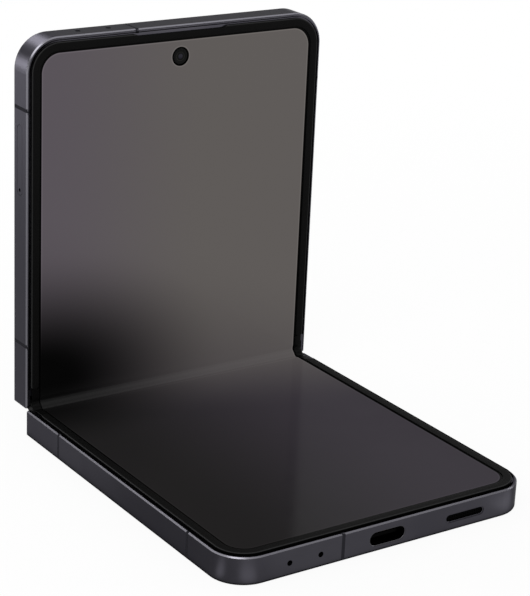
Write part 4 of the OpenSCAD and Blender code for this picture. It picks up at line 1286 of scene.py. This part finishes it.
def barrel_finish():
    """Barrel black with a coated lens, found by the distance from either axis."""
    material, tree, shader = new_finish("barrel_black", LENS_BLACK, 0.35, Specular_IOR_Level=0.15)
    shader.inputs["Coat Roughness"].default_value = BARREL_POLISH
    place = mirrored_place(tree, "upper", between_x / MM)
    rings = use(tree, turned_rings, {"Place": place, "Centre": pair_centre, "Pitch": 0.35})
    inside = soft_step(tree, rings["Radius"], *GLASS_RIM)
    pupil = soft_step(tree, rings["Radius"], *PUPIL_RIM)
    coating = blended(tree, pupil, LENS_COATING, PUPIL_BLACK)
    from_rim = maths(tree, "ABSOLUTE", maths(tree, "SUBTRACT", rings["Radius"], BARREL_RIM))
    rim = soft_step(tree, from_rim, *BARREL_REACH)
    coloured = blended(tree, inside, LENS_BLACK, coating)
    feed(tree, shader, "Base Color", blended(tree, rim, coloured, BARREL_GREY))
    feed(tree, shader, "Coat Weight", inside)
    feed_roughness(tree, shader, inside, WHOLE, BARREL_ROUGH)
    outside = maths(tree, "SUBTRACT", 1.0, inside)
    feed_bump(tree, shader, maths(tree, "MULTIPLY", rings["Height"], outside), BARREL_DEPTH)
    return material


shell = bmesh.new()
for x in camera_x:
    half = spun("barrel", barrel_profile, (x, camera_s), "upper")
    shell.from_mesh(half)
    bpy.data.meshes.remove(half)
mesh = tidy_mesh("rear_barrels", shell)
barrels = new_piece(mesh.name, mesh, barrel_finish(), "upper")
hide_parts("rear_cameras")

# %% Cover glasses, turned rings and the flash
GLASS_TINT = rgb(0.93, 0.95, 0.96)
THIN_GLASS_IOR = 1.18
GLASS_ROUGH = (0.01, 0.04)
glass_finish, tree, shader = new_finish("camera_glass", GLASS_TINT, 0.02, Transmission_Weight=1.0)
shader.inputs["IOR"].default_value = THIN_GLASS_IOR
smear = use(tree, fine_grain, {"Place": laid_place(tree, "upper"), "Scale": 1.5})
feed_roughness(tree, shader, smear["Mottle"], WHOLE, GLASS_ROUGH)
dress(glass_finish, "camera_lenses")

RING_METAL = rgb(0.105, 0.102, 0.118)
RING_BRIGHT = rgb(0.30, 0.295, 0.33)
RING_ROUGH = (0.2, 0.32)
RING_DEPTH = 0.003 * MM
RING_POLISH = (5.75, 5.6)
ring_finish, tree, shader = new_finish("ring_metal", RING_METAL, 0.25, 1.0, Specular_Tint=EDGE_TINT)
place = mirrored_place(tree, "upper", between_x / MM)
rings = use(tree, turned_rings, {"Place": place, "Centre": pair_centre, "Pitch": 0.09})
feed_roughness(tree, shader, rings["Height"], WHOLE, RING_ROUGH)
polished = soft_step(tree, rings["Radius"], *RING_POLISH)
feed(tree, shader, "Base Color", blended(tree, polished, RING_METAL, RING_BRIGHT))
feed_bump(tree, shader, rings["Height"], RING_DEPTH)
dress(ring_finish, "camera_rings")

PHOSPHOR = rgb(0.78, 0.62, 0.22)
WINDOW = rgb(0.74, 0.73, 0.68)
FLASH_BELOW = 8.0
FLASH_SPOT = (1.0, 0.6)
FLASH_ROUGH = (0.12, 0.25)
FLASH_DEPTH = 0.03 * MM
flash_finish, tree, shader = new_finish("flash_window", PHOSPHOR, 0.2, Specular_IOR_Level=0.5)
place = laid_place(tree, "upper")
flash_centre = (between_x / MM, camera_s / MM - FLASH_BELOW, 0)
rings = use(tree, turned_rings, {"Place": place, "Centre": flash_centre, "Pitch": 0.28})
lit_spot = soft_step(tree, rings["Radius"], *FLASH_SPOT)
feed(tree, shader, "Base Color", blended(tree, lit_spot, WINDOW, PHOSPHOR))
feed_roughness(tree, shader, rings["Height"], WHOLE, FLASH_ROUGH)
feed_bump(tree, shader, rings["Height"], FLASH_DEPTH)
dress(flash_finish, "flash_led")

# %% [markdown]
# ## The two outer glasses
# Both backs are sheets of hardened glass over a printed film. The lower one is etched matt, so it
# glows softly where light grazes it, and the upper one is polished, with the small outer screen
# dark behind it. A weak paler window edge shows where that screen ends, as on real black glass.

# %% Matt back glass and polished cover glass
BACK_TONE = rgb(0.034, 0.033, 0.039)
BACK_DEEP = rgb(0.029, 0.028, 0.034)
BACK_ROUGH = (0.38, 0.46)
BACK_DEPTH = 0.0008 * MM
back_finish, tree, shader = new_finish("etched_back", BACK_TONE, 0.42, 0.55, Specular_IOR_Level=0.5)
etch = use(tree, fine_grain, {"Place": laid_place(tree, "lower"), "Scale": 22.0})
feed(tree, shader, "Base Color", blended(tree, etch["Mottle"], BACK_TONE, BACK_DEEP))
feed_roughness(tree, shader, etch["Height"], GRIT, BACK_ROUGH)
feed_bump(tree, shader, etch["Height"], BACK_DEPTH)
dress(back_finish, "back_glass")

COVER_BLACK = rgb(0.0035, 0.0035, 0.004)
COVER_WINDOW = rgb(0.0075, 0.0075, 0.0085)
COVER_SIDE = 34.25
COVER_NEAR = 8.3
COVER_FAR = 80.0
COVER_CORNER = 4.2
COVER_ROUGH = (0.04, 0.09)
cover_finish, tree, shader = new_finish("polished_cover", COVER_BLACK, 0.06, Specular_IOR_Level=0.28)
place = laid_place(tree, "upper")
centred = vectors(tree, "SUBTRACT", place, (0, (COVER_NEAR + COVER_FAR) / 2, 0))
inner = (COVER_SIDE - COVER_CORNER, (COVER_FAR - COVER_NEAR) / 2 - COVER_CORNER, 0)
window = use(tree, rounded_window, {"Place": centred, "Inner": inner, "Corner": COVER_CORNER})
shown = soft_step(tree, window["Distance"], 0.04, -0.04)
feed(tree, shader, "Base Color", blended(tree, shown, COVER_BLACK, COVER_WINDOW))
smear = use(tree, fine_grain, {"Place": place, "Scale": 1.2})
feed_roughness(tree, shader, smear["Mottle"], WHOLE, COVER_ROUGH)
dress(cover_finish, "cover_glass")

PIXEL_BLACK = rgb(0.006, 0.006, 0.008)
PIXEL_GAP = rgb(0.002, 0.002, 0.002)
pixel_finish, tree, shader = new_finish("dark_pixels", PIXEL_BLACK, 0.25)
cells = add(
    tree,
    "ShaderNodeTexVoronoi",
    {"Vector": laid_place(tree, "upper"), "Scale": 10.0, "Randomness": 0.0},
    feature="DISTANCE_TO_EDGE",
)
gap = soft_step(tree, cells.outputs["Distance"], 0.02, 0.12)
feed(tree, shader, "Base Color", blended(tree, gap, PIXEL_GAP, PIXEL_BLACK))
dress(pixel_finish, "cover_display")

# %% [markdown]
# ## Charging port and loudspeaker
# The port is a drawn steel shell, blackened inside, with a black tongue that carries rows of gold
# contacts. The contacts repeat, so a Geometry Nodes tree sets one small strip at every point of a
# line and mirrors the row to the tongue's other side.

# %% Finish the socket
TONGUE_X = 3.4
TONGUE_Z = 0.5
SHELL_STEEL = rgb(0.008, 0.008, 0.0085)
SHELL_DEEP = rgb(0.005, 0.005, 0.0055)
SHELL_TINT = rgb(0.1, 0.1, 0.1)
SHELL_ROUGH = (0.26, 0.4)
TONGUE_BLACK = rgb(0.0015, 0.0015, 0.0015)
name = "socket_steel"
socket_finish, tree, shader = new_finish(name, SHELL_STEEL, 0.45, 1.0, Specular_Tint=SHELL_TINT)
shader.inputs["Specular IOR Level"].default_value = 0.05
place = laid_place(tree, "lower")
from_middle = vectors(tree, "SUBTRACT", place, (0, 0, port_z / MM))
spots = add(tree, "ShaderNodeSeparateXYZ", {0: from_middle}).outputs
in_x = maths(tree, "LESS_THAN", maths(tree, "ABSOLUTE", spots[0]), TONGUE_X)
in_z = maths(tree, "LESS_THAN", maths(tree, "ABSOLUTE", spots[2]), TONGUE_Z)
tongue = maths(tree, "MULTIPLY", in_x, in_z)
lines = use(tree, brushed_lines, {"Place": place, "Stretch": (6.0, 0.4, 6.0)})["Height"]
drawn_steel = blended(tree, lines, SHELL_STEEL, SHELL_DEEP)
feed(tree, shader, "Base Color", blended(tree, tongue, drawn_steel, TONGUE_BLACK))
feed(tree, shader, "Metallic", maths(tree, "SUBTRACT", 1.0, tongue))
feed_roughness(tree, shader, lines, LINES, SHELL_ROUGH)
dress(socket_finish, "usb_c_socket")

# %% [markdown]
# The tree is given the count, the pitch and the size of a contact. Its line starts half a row to
# the left, a strip is set at every point, and a copy of the row is turned over.

# %% A tree that sets two rows of contacts
ROW_INPUTS = (
    ("Count", "Int"),
    ("Pitch", "Float"),
    ("Size", "Vector"),
    ("Lift", "Float"),
    ("Finish", "Material"),
)
contact_rows, given = new_growth("contact_rows", ROW_INPUTS)
step = add(contact_rows, "ShaderNodeCombineXYZ", {"X": given["Pitch"]}).outputs[0]
steps_back = maths(contact_rows, "SUBTRACT", 1.0, given["Count"])
half_row = maths(contact_rows, "MULTIPLY", given["Pitch"], steps_back)
half_row = maths(contact_rows, "MULTIPLY", half_row, 0.5)
first = add(contact_rows, "ShaderNodeCombineXYZ", {"X": half_row, "Z": given["Lift"]}).outputs[0]
row_inputs = {"Count": given["Count"], "Start Location": first, "Offset": step}
row = add(contact_rows, "GeometryNodeMeshLine", row_inputs, mode="OFFSET").outputs[0]
strip = add(contact_rows, "GeometryNodeMeshCube", {"Size": given["Size"]}).outputs[0]
spread_inputs = {"Points": row, "Instance": strip}
spread = add(contact_rows, "GeometryNodeInstanceOnPoints", spread_inputs).outputs[0]
mirror_inputs = {"Geometry": spread, "Rotation": (0, math.pi, 0)}
mirrored = add(contact_rows, "GeometryNodeTransform", mirror_inputs).outputs[0]
joined = contact_rows.nodes.new("GeometryNodeJoinGeometry")
contact_rows.links.new(spread, joined.inputs[0])
contact_rows.links.new(mirrored, joined.inputs[0])
close_growth(contact_rows, joined.outputs[0], given["Finish"])
print("contact tree has", len(contact_rows.nodes), "nodes")

# %% Set the contacts, and finish the speaker's mesh
CONTACT_PITCH = 0.5 * MM
CONTACT_COUNT = 12
CONTACT_SIZE = (0.3 * MM, 3.0 * MM, 0.05 * MM)
CONTACT_LIFT = 0.35 * MM
CONTACT_IN = 3.2 * MM
GOLD = rgb(0.42, 0.26, 0.08)
GOLD_DEEP = rgb(0.30, 0.18, 0.05)
GOLD_ROUGH = (0.22, 0.36)
gold_finish, tree, shader = new_finish("contact_gold", GOLD, 0.3, 1.0)
place = laid_place(tree, "lower")
rub = use(tree, brushed_lines, {"Place": place, "Stretch": (20, 1, 20)})["Height"]
feed(tree, shader, "Base Color", blended(tree, rub, GOLD, GOLD_DEEP))
feed_roughness(tree, shader, rub, LINES, GOLD_ROUGH)

seed = path_curve("contact_seed", [(0, 0, 0), (0, 0, MM)])
settings = {
    "Count": CONTACT_COUNT,
    "Pitch": CONTACT_PITCH,
    "Size": CONTACT_SIZE,
    "Lift": CONTACT_LIFT,
    "Finish": gold_finish,
}
mesh = grown(seed, contact_rows, settings)
mesh.transform(LAID["lower"] @ Matrix.Translation((0, CONTACT_IN - half_l, port_z)))
new_piece("port_contacts", mesh, gold_finish, "lower")

MESH_BLACK = rgb(0.0015, 0.0015, 0.0015)
MESH_LOOK = {"roughness": 0.6, "scale": 5.0, "depth": 0.004 * MM, "level": 0.02}
dress(moulded("mesh_black", "lower", MESH_BLACK, **MESH_LOOK), "speaker_mesh")

# %% [markdown]
# ## Rims of the port and the sound slot
# Where the rail is pierced, a small rounded rim runs round the inside of the opening. It is swept
# along the opening's outline, a stadium shape, with the trees made for the painted-shade band. The
# slot's rim is flat and takes the rail's own metal, and the port's is round and freshly cut, so it is
# brighter.

# %% Sweep the two rims
RIM_STEPS = 16
PORT_RIM = {"length": 9.34, "height": 3.54, "width": 0.36, "depth": 0.36, "setback": 0.01}
SLOT_RIM = {"length": 10.0, "height": 1.9, "width": 0.16, "depth": 0.3, "setback": 0.04}
SLOT_X = 19.9
CUT_RIM = rgb(0.11, 0.108, 0.118)
CUT_ROUGH = (0.26, 0.32)


def stadium_path(length, height, inset):
    """A closed path round a slot with round ends, set in from its edge, in x and z."""
    radius = height / 2 - inset
    straight = (length - height) / 2
    right = arc((straight, 0), radius, -90, 90, RIM_STEPS)
    return right + arc((-straight, 0), radius, 90, 270, RIM_STEPS)


def rim_piece(name, tree, finish, centre_x, sizes):
    """A rim in the lower rail's free end: width inwards from the edge, depth into the rail."""
    size = {label: value * MM for label, value in sizes.items()}
    path = stadium_path(size["length"], size["height"], size["width"] / 2)
    line = path_curve(name + "_path", [(x, z, 0) for x, z in path])
    line.data.splines[0].use_cyclic_u = True
    settings = {"Width": size["width"], "Height": size["depth"], "Finish": finish}
    mesh = grown(line, tree, settings)
    mesh.transform(Matrix.Rotation(math.pi / 2, 4, "X"))
    front = size["setback"] + size["depth"] / 2 - half_l
    mesh.transform(LAID["lower"] @ Matrix.Translation((centre_x * MM, front, port_z)))
    return new_piece(name, mesh, finish, "lower")


cut_rim, tree, shader = new_finish("cut_rim", CUT_RIM, 0.3, 1.0)
rim_grain = use(tree, fine_grain, {"Place": laid_place(tree, "lower"), "Scale": BLAST_SCALE})
feed(tree, shader, "Base Color", blended(tree, rim_grain["Mottle"], CUT_RIM, RAIL_DEEP))
feed_roughness(tree, shader, rim_grain["Mottle"], WHOLE, CUT_ROUGH)
rim_piece("port_rim", swept_wire, cut_rim, 0.0, PORT_RIM)
rim_piece("slot_rim", swept_band, rail_finish["lower"], SLOT_X, SLOT_RIM)

# %% [markdown]
# ## Hinge and inner parts
# The spine is brushed along its length. Inside, the hinge has stamped steel arms and brackets,
# ground shafts, wound springs and brass idler gears, and the halves hold the boards, batteries and
# modules. They hardly show, but a phone that is opened for a picture should still look right.

# %% Helper for drawn metals
def drawn_metal(name, part, colour, roughness, stretch, depth):
    """Rolled, brushed or ground metal: fine lines along one way and a slight mottle."""
    material, tree, shader = new_finish(name, colour, roughness, 1.0)
    place = laid_place(tree, part)
    lines = use(tree, brushed_lines, {"Place": place, "Stretch": stretch})["Height"]
    mottle = use(tree, fine_grain, {"Place": place, "Scale": 4.0})["Mottle"]
    feed(tree, shader, "Base Color", blended(tree, mottle, colour, paler(colour, 0.8)))
    feed_roughness(tree, shader, lines, LINES, (roughness - 0.06, roughness + 0.08))
    feed_bump(tree, shader, lines, depth)
    return material


print("metal helper ready")

# %% [markdown]
# The lines of a brushed or ground metal run one way, so its stretch is small along that way and
# large across it. All small metal parts stand in one table, and a loop makes their finishes.

# %% Metals of the hinge and of the small parts
ALONG = (0.3, 14.0, 14.0)
ACROSS = (14.0, 0.4, 14.0)
GROUND_X = (40.0, 1.0, 1.0)
GROUND_Y = (1.0, 40.0, 1.0)
CUT_TEETH = (30.0, 1.0, 1.0)
COILED = (1.0, 9.0, 9.0)
EVEN = (9.0, 9.0, 9.0)
STEEL = rgb(0.36, 0.36, 0.37)
SHAFT_STEEL = rgb(0.5, 0.5, 0.51)
SPRING_STEEL = rgb(0.24, 0.24, 0.25)
SCREW_BLACK = rgb(0.05, 0.05, 0.052)
SPINE_METAL = rgb(0.046, 0.045, 0.053)
NICKEL = rgb(0.45, 0.43, 0.4)
TIN = rgb(0.42, 0.42, 0.41)
BRASS = rgb(0.52, 0.36, 0.13)
FINE = 0.001 * MM
COARSE = 0.002 * MM
STAMPED = ["hinge_center_brackets", "lower_gear_arms", "upper_gear_arms"]

# Each row: finish, part, colour, roughness, way of its lines, their depth, and the nodes it is on.
METALS = [
    ("brushed_spine", "spine", SPINE_METAL, 0.32, ALONG, COARSE, ["spine_cover"]),
    ("bracket_steel", "spine", STEEL, 0.34, ACROSS, COARSE, STAMPED),
    ("ground_shaft", "spine", SHAFT_STEEL, 0.18, GROUND_X, FINE, ["hinge_shafts"]),
    ("spring_steel", "spine", SPRING_STEEL, 0.28, COILED, FINE, ["friction_springs"]),
    ("cut_brass", "spine", BRASS, 0.28, CUT_TEETH, FINE, ["lower_idler_gears", "upper_idler_gears"]),
    ("rocker_steel", "upper", STEEL, 0.2, GROUND_Y, FINE, ["rocker_pin"]),
    ("tinned_can", "upper", TIN, 0.3, ACROSS, COARSE, ["shield_cans"]),
    ("motor_case", "lower", STEEL, 0.26, ALONG, COARSE, ["vibration_motor"]),
]
for part in PARTS:
    stamped = [part + "_hinge_brackets", part + "_microphones"]
    METALS += [
        ("stamped_steel_" + part, part, STEEL, 0.36, ACROSS, COARSE, stamped),
        ("magnet_nickel_" + part, part, NICKEL, 0.22, ALONG, FINE, [part + "_magnets"]),
        ("screw_black_" + part, part, SCREW_BLACK, 0.36, EVEN, COARSE, [part + "_screws"]),
    ]
for *look, names in METALS:
    dress(drawn_metal(*look), *names)
brushed = bpy.data.materials["brushed_spine"].node_tree.nodes["Principled BSDF"]
brushed.inputs["Specular Tint"].default_value = EDGE_TINT

MODULE_BLACK = rgb(0.009, 0.009, 0.0095)
MODULE_LOOK = {"roughness": 0.5, "scale": 6.0, "depth": 0.003 * MM}
dress(moulded("speaker_black", "lower", MODULE_BLACK, **MODULE_LOOK), "loudspeaker")
dress(moulded("module_black", "upper", MODULE_BLACK, **MODULE_LOOK), "front_camera", "earpiece")

# %% [markdown]
# Batteries come in a drawn foil pouch, and boards wear a green mask over their copper tracks.

# %% Helpers for foil and boards
FOIL = rgb(0.07, 0.072, 0.078)
MASK_GREEN = rgb(0.008, 0.035, 0.022)
TRACK_GREEN = rgb(0.018, 0.075, 0.045)
FOIL_ROUGH = (0.3, 0.42)
FOIL_DEPTH = 0.06 * MM
TRACK_RIM = (0.1, 0.06)
TRACK_DEPTH = 0.02 * MM
BOARD_ROUGH = (0.4, 0.28)


def pouch_foil(name, part):
    """Battery pouch: thin dark foil drawn tight, with shallow creases."""
    material, tree, shader = new_finish(name, FOIL, 0.35, 0.7)
    place = laid_place(tree, part)
    creases = add(tree, "ShaderNodeTexNoise", {"Vector": place, "Scale": 0.16, "Detail": 2.0})
    folds = add(tree, "ShaderNodeTexVoronoi", {"Vector": place, "Scale": 0.12}, feature="SMOOTH_F1")
    height = maths(tree, "ADD", creases.outputs[0], folds.outputs["Distance"])
    grain = use(tree, fine_grain, {"Place": place, "Scale": 10.0})
    feed(tree, shader, "Base Color", blended(tree, grain["Mottle"], FOIL, paler(FOIL, 0.85)))
    feed_roughness(tree, shader, grain["Height"], GRIT, FOIL_ROUGH)
    feed_bump(tree, shader, height, FOIL_DEPTH)
    return material


def printed_board(name, part):
    """Solder mask over copper tracks, which stand up a little and show paler."""
    material, tree, shader = new_finish(name, MASK_GREEN, 0.35)
    inputs = {"Vector": laid_place(tree, part), "Scale": 0.7, "Randomness": 0.35}
    cells = add(tree, "ShaderNodeTexVoronoi", inputs, feature="DISTANCE_TO_EDGE", distance="MANHATTAN")
    track = soft_step(tree, cells.outputs["Distance"], *TRACK_RIM)
    feed(tree, shader, "Base Color", blended(tree, track, MASK_GREEN, TRACK_GREEN))
    feed_roughness(tree, shader, track, WHOLE, BOARD_ROUGH)
    feed_bump(tree, shader, track, TRACK_DEPTH)
    return material


print("foil and board helpers ready")

# %% [markdown]
# The charging coil is wound copper. Its rings are drawn round its middle, which its box gives.

# %% Finish the batteries, boards, coil and flex
COPPER = rgb(0.55, 0.22, 0.09)
COIL_ROUGH = (0.4, 0.24)
COIL_DEPTH = 0.05 * MM
AMBER = rgb(0.30, 0.13, 0.02)
FLEX_LOOK = {"roughness": 0.35, "scale": 3.0, "depth": 0.004 * MM, "level": 0.5}

for part, board in (("lower", "sub_board"), ("upper", "main_board")):
    dress(pouch_foil("pouch_foil_" + part, part), part + "_battery")
    dress(printed_board("printed_board_" + part, part), board)

coil_low, coil_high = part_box("charging_coil")
coil_s = (coil_low.y + coil_high.y) / 2 - hinge_y
coil_finish, tree, shader = new_finish("wound_copper", COPPER, 0.3, 1.0)
turned = {"Place": laid_place(tree, "lower"), "Centre": (0, coil_s / MM, 0), "Pitch": 0.3}
rings = use(tree, turned_rings, turned)
feed(tree, shader, "Base Color", blended(tree, rings["Height"], paler(COPPER, 0.5), COPPER))
feed_roughness(tree, shader, rings["Height"], WHOLE, COIL_ROUGH)
feed_bump(tree, shader, rings["Height"], COIL_DEPTH)
dress(coil_finish, "charging_coil")
dress(moulded("amber_flex", "upper", AMBER, **FLEX_LOOK), "side_key_flex")

# %% [markdown]
# ## The stage
# A plain white floor and plain soft light. The camera sees the floor and the surroundings fully
# white, only lamps and a milder fill light the phone, and the floor keeps part of its shadow.
# Mirrored in the rails, though, an even white would look flat. So reflections alone see a studio:
# a bright ceiling over a dim band, a painted shadow that darkens the floor towards the phone and
# beside it, where a black card would stand, and three soft painted highlights before it.

# %% Build the floor
FLOOR_REACH = 3.0
FLOOR_DROP = 0.02 * MM
FLOOR_WHITE = rgb(0.92, 0.92, 0.92)
WHITE = rgb(1, 1, 1)
SHADOW_KEEP = 0.08
SHADOW_FADE = (0.12, 0.4)
CONTACT_REACH = 1.6
NEAR_SHARE = 0.49
FAR_RAMP = (160, 285)
PAINTED_SHADOW_CENTRE = (-52, -22)
PAINTED_SHADOW_SIZE = (44, 50)
PAINTED_SHADOW_HEART = 0.3
PAINTED_SHADOW_DEPTH = 0.5
GLOWS = (((-43.5, -40.5), (7, 4)), ((-34.5, -50.5), (8, 7.5)), ((38, -50), (13, 8)))
GLOW_HEART = 0.2

shell = bmesh.new()
bmesh.ops.create_grid(shell, x_segments=1, y_segments=1, size=FLOOR_REACH)
bmesh.ops.translate(shell, verts=shell.verts, vec=(0, 0, -FLOOR_DROP))
floor_mesh = bpy.data.meshes.new("floor")
shell.to_mesh(floor_mesh)
shell.free()
floor = bpy.data.objects.new("floor", floor_mesh)
bpy.context.scene.collection.objects.link(floor)
print("floor of", 2 * FLOOR_REACH, "m")


def looking_rays(tree):
    """One for rays that see a surface, and not for those that light by it; and the camera's own."""
    rays = tree.nodes.new("ShaderNodeLightPath").outputs
    seen = maths(tree, "ADD", rays["Is Camera Ray"], rays["Is Glossy Ray"])
    seen = maths(tree, "ADD", seen, rays["Is Transmission Ray"])
    return maths(tree, "MINIMUM", seen, 1.0), rays["Is Camera Ray"]


# %% [markdown]
# The pattern is drawn in millimetres from the middle of the phone's footprint, with the same window
# group as the screens: it gives the distance from the footprint's outline.

# %% Finish the floor
floor_white = bpy.data.materials.new("floor_white")
floor_white.use_nodes = True
tree = floor_white.node_tree
tree.nodes.clear()
seen, by_camera = looking_rays(tree)
spot = tree.nodes.new("ShaderNodeTexCoord").outputs["Object"]
away = vectors(tree, "LENGTH", vectors(tree, "MULTIPLY", spot, (1, 1, 0)))
white_share = soft_step(tree, away, *SHADOW_FADE, 1 - SHADOW_KEEP, 1.0)

foot_low, foot_high = cad_box
foot_middle = (foot_low + foot_high) / 2
foot_half = (foot_high - foot_low) / 2
from_foot = vectors(tree, "SUBTRACT", spot, (foot_middle.x, foot_middle.y, 0))
from_foot = vectors(tree, "MULTIPLY", from_foot, (1 / MM, 1 / MM, 0))
inner = ((foot_half.x - CORNER_RADIUS) / MM, (foot_half.y - CORNER_RADIUS) / MM, 0)
outline = {"Place": from_foot, "Inner": inner, "Corner": CORNER_RADIUS / MM}
beside = use(tree, rounded_window, outline)["Distance"]
# Painted shadow, seen only in reflections: the floor darkens close to the phone's foot, in a soft
# field beside it, and towards the phone over a long reach.
contact = soft_step(tree, beside, 0.0, CONTACT_REACH)
painted_floor_shadow = soft_field(tree, from_foot, PAINTED_SHADOW_CENTRE, PAINTED_SHADOW_SIZE, PAINTED_SHADOW_HEART)
lit_share = maths(tree, "SUBTRACT", 1.0, maths(tree, "MULTIPLY", painted_floor_shadow, PAINTED_SHADOW_DEPTH))
distance_share = soft_step(tree, beside, *FAR_RAMP, NEAR_SHARE, 1.0)
lit_share = maths(tree, "MULTIPLY", lit_share, distance_share)
# Painted highlights, seen only in reflections: three soft bright spots on the floor before the phone.
for centre, size in GLOWS:
    glow = soft_field(tree, from_foot, centre, size, GLOW_HEART)
    lit_share = maths(tree, "MAXIMUM", lit_share, glow)
mirrored = maths(tree, "MULTIPLY", contact, lit_share)

matt_white = add(tree, "ShaderNodeBsdfDiffuse", {"Color": FLOOR_WHITE})
strength = maths(tree, "MAXIMUM", mirrored, by_camera)
plain_white = add(tree, "ShaderNodeEmission", {"Color": WHITE, "Strength": strength})
mixed = add(tree, "ShaderNodeMixShader", {0: maths(tree, "MULTIPLY", seen, white_share)})
tree.links.new(matt_white.outputs[0], mixed.inputs[1])
tree.links.new(plain_white.outputs[0], mixed.inputs[2])
ground = tree.nodes.new("ShaderNodeOutputMaterial")
tree.links.new(mixed.outputs[0], ground.inputs["Surface"])
floor_mesh.materials.append(floor_white)
print("floor finish has", len(tree.nodes), "nodes")

# %% Build the surroundings
FILL_LIGHT = 0.62
DIM_BAND = 0.22
HORIZON = (0.06, 0.2)
CEILING_TILT = 0.5
CEILING_REACH = (0.35, 0.6)
CEILING_EDGE = (0.37, 0.47)

world = bpy.data.worlds.new("white_studio")
bpy.context.scene.world = world
world.use_nodes = True
tree = world.node_tree
seen, by_camera = looking_rays(tree)
way = tree.nodes.new("ShaderNodeTexCoord").outputs["Generated"]
way = add(tree, "ShaderNodeSeparateXYZ", {0: way}).outputs
skyward = way["Z"]
horizon = soft_step(tree, skyward, *HORIZON, 1.0, DIM_BAND)
tilted = maths(tree, "ADD", skyward, maths(tree, "MULTIPLY", way["Y"], CEILING_TILT))
ceiling = soft_step(tree, tilted, *CEILING_REACH)
ceiling = maths(tree, "MULTIPLY", ceiling, soft_step(tree, skyward, *CEILING_EDGE))
studio = maths(tree, "MAXIMUM", horizon, ceiling)
shown = maths(tree, "MAXIMUM", studio, by_camera)
gain = maths(tree, "MULTIPLY", maths(tree, "SUBTRACT", shown, FILL_LIGHT), seen)
background = tree.nodes["Background"].inputs
tree.links.new(maths(tree, "ADD", gain, FILL_LIGHT), background["Strength"])
background["Color"].default_value = WHITE
print("surroundings:", world.name)

# %% Hang the lamps
LAMPS = (
    ("key_lamp", (-0.45, -0.35, 0.65), 0.5, 2.0),
    ("side_lamp", (0.6, -0.28, 0.2), 0.25, 0.7),
    ("back_lamp", (-0.02, 0.6, 0.5), 0.25, 1.1),
    ("low_lamp", (-0.45, 0.5, 0.12), 0.2, 0.9),
)
phone_middle = Vector((0, 0, 0.03))
for name, spot, size, power in LAMPS:
    lamp = bpy.data.lights.new(name, "AREA")
    lamp.size = size
    lamp.energy = power
    holder = bpy.data.objects.new(name, lamp)
    bpy.context.scene.collection.objects.link(holder)
    holder.location = spot
    holder.rotation_euler = (phone_middle - Vector(spot)).to_track_quat("-Z", "Y").to_euler()
print("lamps:", [lamp[0] for lamp in LAMPS])
